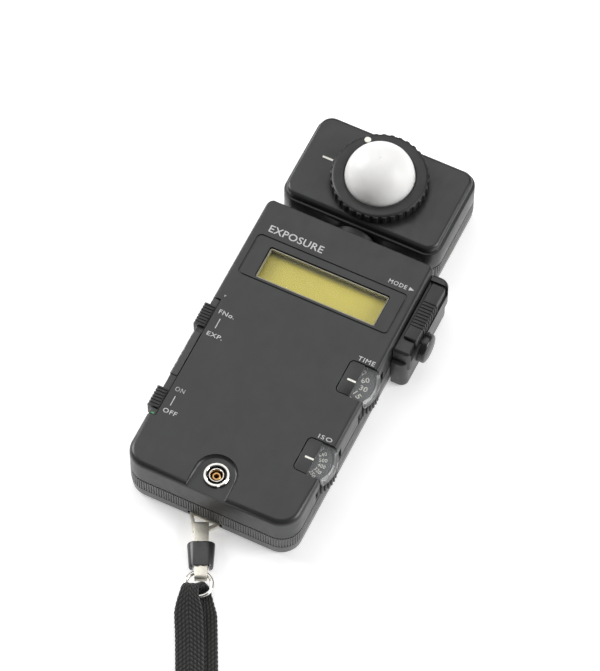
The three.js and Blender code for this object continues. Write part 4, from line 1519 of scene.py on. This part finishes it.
# ---------------------------------------------------------------- dials
@dataclass
class ThumbDial:
    """A thumbwheel with a printed disc, seen through a clear window that has an opaque mask."""

    palette: Palette
    repeats: dict[str, Repeat]
    name: str
    scale: tuple[str, ...]
    pitch: float
    current: int
    window: float = 10.4
    mask_edge: float = 24.4
    face: float = 20.9
    knurls: int = 44
    half: float = 5.9
    lean: float = 0.05

    def __post_init__(self) -> None:
        """Reads the dial's place from its CAD disc."""
        self.disc = Extent.of(f"{self.name}_scale_disc")
        self.x, self.y, _ = self.disc.centre

    def build(self) -> None:
        """Makes the fixed window and mask, then the turning wheel, disc and numbers."""
        self.window_lens()
        self.mask()
        self.wheel()
        self.scale_disc()
        self.numbers()

    def lens_outline(self, inset: float) -> list[Point2]:
        """Outline of the clear part: straight beside the mask, round over the wheel."""
        radius = self.window - inset
        low, high = self.y - self.half + inset, self.y + self.half + self.lean - inset
        reach = math.degrees(math.asin((self.half - inset) / radius))
        points = [(self.mask_edge + 0.03, high), (self.mask_edge + 0.03, low)]
        return points + arc(self.x, self.y, radius, -reach, reach, 40)

    def window_lens(self) -> None:
        """Moulds the clear part, with a round brim and a skirt down to the wheel."""
        brim, shoulder = 0.75, 20.1
        layers = [(self.lens_outline(0), 19.4)]
        layers += [(self.lens_outline(brim * sink), shoulder + brim * rise) for sink, rise in quarter(7)]
        nodes = [f"{self.name}_dial_window"]
        lens = draft(f"{self.name}_lens", loft(layers))
        finish_piece(lens, self.palette["dial_acrylic"], "case", nodes, 0.05)
        # The skirt's pale frosted plastic is partly a painted highlight along the window's outer arc.
        reach = 33.0
        skirt = arc(self.x, self.y, self.window - 0.02, -reach, reach, 32)
        skirt += list(reversed(arc(self.x, self.y, self.window - 1.15, -reach, reach, 32)))
        obj = draft(f"{self.name}_skirt", loft([(skirt, 16.2), (skirt, 19.38)]))
        finish_piece(obj, self.palette["dial_frost_and_highlight"], "case", edge=0.08)

    def mask(self) -> None:
        """Moulds the opaque part with its index line."""
        left = self.x - 1.2
        low, high = self.y - self.half, self.y + self.half + self.lean
        outline = rounded(left, self.mask_edge, low, high, (1.3, 0.05, 0.05, 1.3), 8)
        obj = draft(f"{self.name}_mask", loft([(outline, 18.9), (outline, self.face)]))
        finish_piece(obj, self.palette["case_charcoal"], "case", edge=0.1)
        line = slab(left + 1.6, self.mask_edge - 0.05, self.y - 1.0, self.y - 0.35, self.face - 0.05,
                    self.face + 0.03, 0.15)
        finish_piece(draft(f"{self.name}_index", line), self.palette["index_white"], "case")

    def wheel(self) -> None:
        """Turns the wheel's drum and sets knurls round it."""
        box = Extent.of(f"{self.name}_dial_wheel")
        rim = (box.x1 - box.x0) / 2
        drum = [(1.5, box.z0), (rim - 0.8, box.z0), (rim - 0.5, box.z0 + 0.3), (rim - 0.5, 15.3), (rim - 0.8, 15.6),
                (6.0, 15.6), (6.0, box.z1), (1.5, box.z1)]
        body = f"{self.name}_dial"
        obj = draft(f"{self.name}_drum", moved(turned(drum), self.x, self.y))
        finish_piece(obj, self.palette["control_black"], body, [f"{self.name}_dial_wheel"])
        knurl = slab(-0.4, 0.5, -0.36, 0.36, box.z0 + 0.15, 15.45, 0.25, 0.15, 0.15)
        ring = self.repeats["ring"].make(f"{self.name}_knurls", seed(), knurl,
                                         self.palette["control_black"], (self.x, self.y),
                                         Count=self.knurls, Radius=rim - 0.5)
        finish_piece(ring, self.palette["control_black"], body)

    def scale_disc(self) -> None:
        """Turns the printed disc."""
        box = self.disc
        radius = (box.x1 - box.x0) / 2
        profile = [(1.5, box.z0), (radius, box.z0), (radius, box.z1 - 0.1), (radius - 0.1, box.z1), (1.5, box.z1)]
        obj = draft(f"{self.name}_disc", moved(turned(profile), self.x, self.y))
        node = [f"{self.name}_scale_disc"]
        finish_piece(obj, self.palette["scale_grey"], f"{self.name}_dial", node)

    def numbers(self) -> None:
        """Prints the scale round the disc, with the current value at the index."""
        for i, text in enumerate(self.scale):
            turn = (self.current - i) * self.pitch
            place = Matrix.Translation((self.x, self.y, 0)) @ about("Z", turn)
            half = min(0.68 * len(text), 1.3)
            tall = 0.026 * self.pitch + 0.1
            box = (5.7 - half, 5.7 + half, -tall, tall)
            lettering(f"{self.name}_number_{text}", text, box, self.disc.z1, self.palette["index_white"],
                      f"{self.name}_dial", 1.05, place)


TIME_SCALE = ("1000", "500", "250", "125", "60", "30", "15", "8", "4", "2", "1")
SPEED_SCALE = ("1000", "800", "640", "500", "400", "320", "250", "200", "160", "125", "100", "80", "64", "50", "40",
               "32", "25")


# ---------------------------------------------------------------- switches on the left
def rib_row(row: Repeat, name: str, outline: Sequence[Point2], half: float, y: float, count: int, pitch: float,
            material: Finish) -> Piece:
    """Sets equal ribs in a row along Y.

    Args:
        row: The tree for rows.
        name: Name of the piece.
        outline: A rib's outline in X and Z.
        half: Half of a rib's thickness.
        y: Place of the first rib.
        count: Number of ribs.
        pitch: Distance between them.
        material: Their finish.

    Returns:
        The ribs as one piece.
    """
    unit = moved(loft([(outline, -half), (outline, half)]), 0, y, 0, about("X", 90))
    bmesh.ops.recalc_face_normals(unit, faces=unit.faces)
    return row.make(name, seed(), unit, material, Count=count, Step=(0.0, pitch, 0.0))


@dataclass
class SlideSwitches:
    """Guide rail in the left edge with its two ribbed knobs."""

    palette: Palette
    repeats: dict[str, Repeat]
    rib: float = 0.34

    def build(self) -> None:
        """Makes the rail and the knobs."""
        self.rail()
        self.knob("power_switch_knob", "power_switch", 7)
        self.knob("function_switch_knob", "function_switch", 8)

    def rail(self) -> None:
        """Moulds the rail: raised between the knobs, lower where they slide."""
        box = Extent.of("switch_rail")
        obj = draft("guide_rail", slab(box.x0 + 0.3, box.x1, box.y0, box.y1, box.z0, box.z1 - 0.35, 0.1))
        combine(obj, Boolean.ADD, [slab(box.x0, box.x1, -18.3, -1.1, box.z0, box.z1, 0.3, 0.35)])
        combine(obj, Boolean.CUT, tongue_slots())
        finish_piece(obj, self.palette["rubbed_edge"], "case", ["switch_rail"], 0.1)
        low = box.y0 + 0.15
        mark = slab(box.x0 + 1.0, box.x1 - 0.6, low, low + 0.45, box.z1 - 0.37, box.z1 - 0.3)
        finish_piece(draft("power_colour_mark", mark), self.palette["power_green"], "case")

    def knob(self, node: str, body: str, ribs: int) -> None:
        """Moulds one knob: a cap that wraps the edge, its tongue and its ribs.

        Args:
            node: The CAD node.
            body: The CAD body.
            ribs: Number of ribs.
        """
        box = Extent.of(node)
        rib = self.rib
        middle = box.centre[1]
        obj = draft(f"{body}_cap", slab(box.x0 + rib, -26.6, box.y0, box.y1, 20.75, box.z1 - rib, 0.15, 0.1))
        side = slab(box.x0 + rib, -28.95, box.y0, box.y1, box.z0, box.z1 - rib - 0.02, 0.15, 0.1)
        tongue = slab(-29.0, box.x1, middle - 1.4, middle + 1.4, 16.4, 17.2)
        combine(obj, Boolean.ADD, [side, tongue])
        finish_piece(obj, self.palette["control_black"], body, [node], 0.06)
        pitch = (box.y1 - box.y0 - 0.7) / (ribs - 1)
        corner = [(box.x0 + 0.35, 21.15), (box.x0 + 0.12, 21.38 - 0.35), (box.x0, 20.8)]
        back, under = box.x0 + rib + 0.3, box.z1 - rib - 0.3
        outline = [(box.x0, box.z0 + 0.2), (back, box.z0 + 0.2), (back, under), (-26.7, under),
                   (-26.7, box.z1 - 0.1), (-26.8, box.z1), (box.x0 + 0.7, box.z1),
                   *[(x, z + 0.2) for x, z in corner]]
        obj = rib_row(self.repeats["row"], f"{body}_ribs", outline, 0.28, box.y0 + 0.35, ribs, pitch,
                      self.palette["control_black"])
        finish_piece(obj, self.palette["control_black"], body, edge=0.08)


# ---------------------------------------------------------------- controls on the right
@dataclass
class SideControls:
    """Housing on the right edge with the mode slider and the measuring button."""

    palette: Palette
    repeats: dict[str, Repeat]

    def build(self) -> None:
        """Makes the housing, the slider and the button."""
        self.housing()
        self.slider()
        self.button()

    def housing(self) -> None:
        """Moulds the two-tier housing with its track and button hole."""
        box = Extent.of("side_housing")
        button = Extent.of("measuring_button")
        _, by, bz = button.centre
        lower = self.tier(box.x0, box.x1 - 0.9, box.y0, box.y1, box.z0, 13.9, (2.4, 3.2), 0.5, 0.6)
        upper = self.tier(box.x0, box.x1, box.y0 + 1.2, box.y1 - 0.2, 10.0, box.z1, (1.8, 3.2), 1.2, 0.0)
        obj = draft("control_housing", lower)
        combine(obj, Boolean.ADD, [upper])
        slider = Extent.of("mode_slider")
        track = (box.y0 + 2.0, slider.y1 + 0.5)
        cuts = [
            slab(box.x0 - 2, box.x1 + 2, *track, 18.3, 22, 0.3),
            slab(34.1, box.x1 + 2, *track, 15.0, 22, 0.3),
            slab(box.x0 - 1, 33.8, box.y0 + 1.6, box.y1 - 1.7, 2.2, 17.0),
            slab(31.0, 33.0, 29.6, 40.2, 15, 20),
            rod((33, by, bz), (38, by, bz), 5.1, 64),
        ]
        combine(obj, Boolean.CUT, cuts)
        finish_piece(obj, self.palette["case_charcoal"], "case", ["side_housing"], 0.15)

    @staticmethod
    def tier(x0: float, x1: float, y0: float, y1: float, z0: float, z1: float, corners: Point2, rim: float,
             foot: float) -> Solid:
        """Block whose outer corners and rims are round.

        Args:
            x0: Inner side, against the case.
            x1: Outer side.
            y0: Lower end.
            y1: Upper end.
            z0: Underside.
            z1: Top.
            corners: Radii of the outer corners at the lower and upper ends.
            rim: Radius of the upper rim.
            foot: Radius of the lower rim.

        Returns:
            The closed block.
        """
        def plan(inset: float) -> list[Point2]:
            """Outline moved inwards on every side but the inner one."""
            radii = (0.02, max(corners[0] - inset, 0.05), max(corners[1] - inset, 0.05), 0.02)
            return rounded(x0, x1 - inset, y0 + inset, y1 - inset, radii, 8)

        lower = quarter(6) if foot else [(0.0, 1.0)]
        layers = [(plan(foot * (1 - rise)), z0 + foot * sink) for sink, rise in lower]
        layers += [(plan(rim * sink), z1 - rim + rim * rise) for sink, rise in quarter(6)]
        return loft(layers)

    def slider(self) -> None:
        """Moulds the mode slider and its ribs, which wrap over the outer edge."""
        box = Extent.of("mode_slider")
        obj = draft("mode_cap", slab(box.x0, box.x1 - 0.3, box.y0, box.y1, box.z0, box.z1 - 0.35, 0.8, 0.6))
        combine(obj, Boolean.CUT, [slab(29, 34.2, box.y0 - 1, box.y1 + 1, 14, 18.6)])
        combine(obj, Boolean.ADD, [slab(31.4, 32.6, 35.6, 39.8, 16.6, 18.8)])
        finish_piece(obj, self.palette["control_black"], "mode_switch", ["mode_slider"], 0.1)
        x0, x1, z0, z1 = box.x0 + 0.25, box.x1 + 0.05, box.z0 + 0.3, box.z1
        outline = [(x1 - 1.2, z1 - 0.5), (x1 - 0.6, z1 - 1.0), (x1 - 0.5, z0), (x1, z0), (x1, z1 - 0.9),
                   (x1 - 0.35, z1 - 0.2), (x1 - 1.0, z1), (x0 + 0.2, z1), (x0, z1 - 0.15), (x0, z1 - 0.5)]
        obj = rib_row(self.repeats["row"], "mode_ribs", outline, 0.27, 30.7, 9, 1.17, self.palette["control_black"])
        finish_piece(obj, self.palette["control_black"], "mode_switch", edge=0.08)

    def button(self) -> None:
        """Turns the domed measuring button."""
        box = Extent.of("measuring_button")
        _, y, z = box.centre
        top = box.x1
        profile = [(0, 30.9), (1.6, 30.9), (1.6, 32.7), (5.9, 32.7), (5.9, 33.4), (4.8, 33.4), (4.8, top - 1.35)]
        profile += [(4.8 - 0.7 * (1 - math.cos(t)), top - 1.35 + 0.8 * math.sin(t)) for t in (0.3, 0.6, 0.9, 1.2, 1.5)]
        profile += [(3.5, top - 0.33), (2.6, top - 0.16), (1.6, top - 0.06), (0.8, top - 0.02), (0, top)]
        obj = draft("release_button", moved(turned(profile, 64), 0, y, z, about("Y", 90)))
        finish_piece(obj, self.palette["button_grey"], "button", ["measuring_button"], sharp=24)
        turns = bmesh.new()
        turns.from_mesh(bpy.data.objects["button_spring"].data)
        bmesh.ops.remove_doubles(turns, verts=turns.verts, dist=1e-6)
        bmesh.ops.transform(turns, matrix=Matrix.Scale(1 / MM, 4), verts=turns.verts)
        coil = draft("return_spring", turns)
        finish_piece(coil, self.palette["bright_chrome"], "case", ["button_spring"])
        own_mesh(coil)


# ---------------------------------------------------------------- sync socket
@dataclass
class SyncSocket:
    """Round flash terminal: threaded shell, inner tube, insulator and contact."""

    palette: Palette

    def build(self) -> None:
        """Turns each ring of the terminal."""
        shell = Extent.of("sync_socket_shell")
        x, y, _ = shell.centre
        rings = [
            ("terminal_shell", "sync_socket_shell", "bright_chrome", "chromed_metal",
             [(1.0, 12.0), (3.6, 12.0), (3.6, 20.3), (4.0, 20.3), (4.15, 20.42), (4.15, 20.72), (3.95, 20.9),
              (3.35, 20.9), (3.1, 20.65), (3.1, 13.0), (1.0, 13.0)]),
            ("terminal_tube", "sync_inner_tube", "bright_chrome", "chromed_metal",
             [(1.95, 15.3), (2.45, 15.3), (2.45, 20.35), (2.3, 20.6), (2.1, 20.6), (1.95, 20.4)]),
            ("terminal_insulator", "sync_insulator", "socket_nylon", "insulator",
             [(0.9, 13.3), (2.8, 13.3), (2.8, 15.0), (0.9, 15.0)]),
            ("terminal_contact", "sync_contact", "socket_gold", "contact_brass",
             [(0.7, 15.3), (1.45, 15.3), (1.45, 19.5), (1.2, 19.8), (0.85, 19.8), (0.7, 19.6)]),
        ]
        for name, node, finish, slot, profile in rings:
            obj = draft(name, moved(turned(profile, 64), x, y))
            if node == "sync_socket_shell":
                notch = slab(-0.45, 0.45, 2.6, 4.6, 20.35, 21.5, 0.2)
                combine(obj, Boolean.CUT, [moved(notch, x, y, 0, about("Z", 215))])
            finish_piece(obj, self.palette[finish], "case", [node])


# ---------------------------------------------------------------- head
@dataclass
class SensorHead(RibbedShell):
    """The head's covers with their ribbed band, its screws and its swivel neck."""

    corner: float = 5.0
    ledge: float = 18.3
    step: float = 0.8
    rim: float = 1.5
    fasteners: tuple[str, ...] = ("head_screw_1", "head_screw_2")
    box: Extent = field(default_factory=lambda: Extent.of("head_rear_cover"))

    def build(self) -> None:
        """Makes the covers, band, screws, neck and index mark."""
        self.front_cover()
        self.rear_cover()
        self.grip_band()
        self.screws("head_screws", self.fasteners, 9.9, "head")
        self.neck()
        mark = slab(-20.4, -16.8, 72.7, 73.4, self.face - 0.03, self.face + 0.02, 0.12)
        finish_piece(draft("head_index", mark), self.palette["index_white"], "head")

    def outline(self, inset: float, top_inset: float | None = None) -> list[Point2]:
        """The head's outline, moved inwards on every side."""
        box = self.box
        sides = (box.x0 + inset, box.x1 - inset, box.y0 + inset, box.y1 - inset)
        return rounded(*sides, (max(self.corner - inset, 0.05),) * 4, 12)

    def front_cover(self) -> None:
        """Moulds the upper half: a skirt, a narrow ledge and the raised face."""
        parting = self.box.z1 + 0.3
        ledge = self.ledge
        steps = [(0.25, parting), (0, parting + 0.25), (0, ledge - 0.35), (0.1, ledge - 0.1), (0.35, ledge),
                 (self.step - 0.1, ledge), (self.step, ledge + 0.15)]
        steps += [(self.step + self.rim * sink, self.face - self.rim + self.rim * rise) for sink, rise in quarter(8)]
        layers = [(self.outline(inset), z) for inset, z in steps]
        obj = draft("head_front_shell", loft(layers))
        box = self.box
        combine(obj, Boolean.CUT, [slab(box.x0 + 2.2, box.x1 - 2.2, box.y0 + 2.2, box.y1 - 2.2, 5, 19.2, 2.8)])
        y = Extent.of("sensor_filter").centre[1]
        combine(obj, Boolean.CUT, [rod((0, y, 18), (0, y, 22), 5.8), neck_hole(box.y0 - 1, box.y0 + 4)])
        finish_piece(obj, self.palette["case_charcoal"], "head", ["head_front_cover"], 0.12)

    def rear_cover(self) -> None:
        """Moulds the lower half with the floor of its grip band."""
        layers = self.foot() + [(self.outline(self.rib_depth), self.box.z1)]
        obj = draft("head_rear_shell", loft(layers))
        box = self.box
        combine(obj, Boolean.CUT, [slab(box.x0 + 1.8, box.x1 - 1.8, box.y0 + 1.6, box.y1 - 1.6, 1.8, 20, 3.4)])
        combine(obj, Boolean.CUT, [neck_hole(box.y0 - 1, box.y0 + 4), *counterbores(self.fasteners)])
        # Lightened band plastic: painted light on the head's lower wall.
        finish_piece(obj, self.palette["band_charcoal_painted_light"], "head", ["head_rear_cover"], 0.12)

    def grip_band(self) -> None:
        """Sets upright ribs round the head, left open at the neck."""
        outline = self.outline(self.rib_depth)
        plan = outline[13:] + outline[:13]
        plan = [(7.0, outline[13][1])] + plan + [(-7.0, outline[12][1])]
        self.ribs("head_grip_ribs", plan, self.box.z1 - self.band_foot - 0.2, "head")

    def neck(self) -> None:
        """Turns the swivel bush, which shows between body and head."""
        box = Extent.of("swivel_bush")
        y = box.y0
        profile = [(3.4, 0), (5.2, 0), (5.2, 6.3), (7.3, 6.3), (7.6, 6.6), (7.6, 9.0), (7.3, 9.3), (5.2, 9.3),
                   (5.2, 12.1), (7.2, 12.1), (7.2, 13.4), (3.4, 13.4)]
        obj = draft("neck_bush", moved(turned(profile, 72), 0, y, NECK_Z, about("X", -90)))
        finish_piece(obj, self.palette["control_black"], "head", ["swivel_bush"], sharp=24)


@dataclass
class Diffuser:
    """White dome in its grip ring, which turns to lock."""

    palette: Palette
    repeats: dict[str, Repeat]
    lobes: int = 36

    def build(self) -> None:
        """Makes the ring, its lobes, the dome and the index dot."""
        box = Extent.of("diffuser_ring")
        x, y, _ = box.centre
        self.ring(box, x, y)
        self.dome(x, y)
        angle = math.radians(131.8)
        dot = turned([(0, box.z1 - 0.1), (1.05, box.z1 - 0.1), (1.05, box.z1 + 0.06), (0.85, box.z1 + 0.14),
                      (0, box.z1 + 0.16)], 32)
        obj = draft("ring_dot", moved(dot, x + 13.6 * math.cos(angle), y + 13.6 * math.sin(angle)))
        finish_piece(obj, self.palette["index_white"], "diffuser")

    def ring(self, box: Extent, x: float, y: float) -> None:
        """Turns the ring and sets grip lobes round its rim.

        Args:
            box: The CAD ring's box.
            x: Centre across.
            y: Centre along.
        """
        rim = (box.x1 - box.x0) / 2
        z0, z1 = box.z0, box.z1
        profile = [(13.75, z0), (rim - 0.55, z0), (rim - 0.35, z0 + 0.2), (rim - 0.35, z1 - 0.7),
                   (rim - 0.5, z1 - 0.3), (rim - 0.9, z1 - 0.05), (rim - 1.3, z1), (12.0, z1), (11.6, z1 - 0.15),
                   (11.45, z1 - 0.5), (11.45, z1 - 1.5), (14.6, z1 - 1.5), (14.6, 22.25), (13.75, 22.25)]
        obj = draft("grip_ring", moved(turned(profile, 144), x, y))
        notches = [moved(slab(12.5, 14.9, -4.6, 4.6, 21, 22.5, 0.3), x, y, 0, about("Z", turn))
                   for turn in (42, 162, 282)]
        combine(obj, Boolean.CUT, notches)
        finish_piece(obj, self.palette["control_black"], "diffuser", ["diffuser_ring"], sharp=28)
        lobe = slab(-0.9, 0.35, -0.85, 0.85, z0 + 0.1, z1 - 0.45, 0.55, 0.3, 0.2)
        lobes = self.repeats["ring"].make("grip_lobes", seed(), lobe, self.palette["control_black"],
                                          (x, y), Count=self.lobes, Radius=rim - 0.35)
        finish_piece(lobes, self.palette["control_black"], "diffuser")

    def dome(self, x: float, y: float) -> None:
        """Blows the opal dome, a shell with a foot that sits in the ring."""
        centre, outer, inner = 24.4, 11.2, 9.7
        turns = [math.radians(90 * i / 24) for i in range(25)]
        outside = [(outer * math.cos(t), centre + outer * math.sin(t)) for t in turns[:-1]]
        inside = [(inner * math.cos(t), centre + inner * math.sin(t)) for t in reversed(turns[:-1])]
        top = centre + outer
        dimple = [(0.55, top - 0.03), (0.4, top - 0.12), (0.2, top - 0.2), (0, top - 0.22)]
        profile = [(0, centre + inner), *inside, (inner, 22.8), (12.4, 22.8), (12.4, 23.4), (outer, 23.4), *outside,
                   *dimple]
        bm = turned(profile, 128)
        finish_piece(draft("opal_dome", moved(bm, x, y)), self.palette["dome_opal"], "diffuser",
                     ["diffuser_dome"])


# ---------------------------------------------------------------- inner pieces
INNER_FINISHES = {
    "display_holder": "control_black",
    "main_circuit_board": "board_green",
    "slide_switch_board": "board_green",
    "sensor_board": "board_green",
    "time_dial_pin": "worn_nickel",
    "speed_dial_pin": "worn_nickel",
    "time_dial_switch": "wafer_brown",
    "speed_dial_switch": "wafer_brown",
    "button_microswitch": "control_black",
    "sync_nut": "worn_nickel",
    "battery_cell": "cell_jacket",
    "battery_spring": "worn_nickel",
    "battery_contact_plate": "worn_nickel",
    "swivel_retaining_ring": "socket_gold",
    "bayonet_mount_ring": "bright_chrome",
    "sensor_filter": "filter_glass",
    "sensor_cell": "cell_blue",
}


def dress_inner_pieces(palette: Palette) -> None:
    """Gives the CAD nodes that stay their finishes."""
    for node, finish in INNER_FINISHES.items():
        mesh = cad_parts[node].data
        mesh.materials.clear()
        mesh.materials.append(palette[finish])
    log.info("%d CAD pieces dressed", len(INNER_FINISHES))


def main() -> None:
    """Builds the studio and every sub-assembly in order."""
    logging.basicConfig(level=logging.INFO, format="%(name)s: %(message)s")
    Studio().build()
    palette = Palette()
    repeats = {"row": row_tree(), "ring": ring_tree(), "path": path_tree(), "place": place_tree()}
    WristStrap(palette).build()
    CaseShell(palette, repeats).build()
    Display(palette).build()
    FaceMarks(palette).build()
    ThumbDial(palette, repeats, "time", TIME_SCALE, 30.0, TIME_SCALE.index("30")).build()
    ThumbDial(palette, repeats, "speed", SPEED_SCALE, 20.0, SPEED_SCALE.index("400")).build()
    SlideSwitches(palette, repeats).build()
    SideControls(palette, repeats).build()
    SyncSocket(palette).build()
    SensorHead(palette, repeats).build()
    Diffuser(palette, repeats).build()
    dress_inner_pieces(palette)


if __name__ == "__main__":
    main()
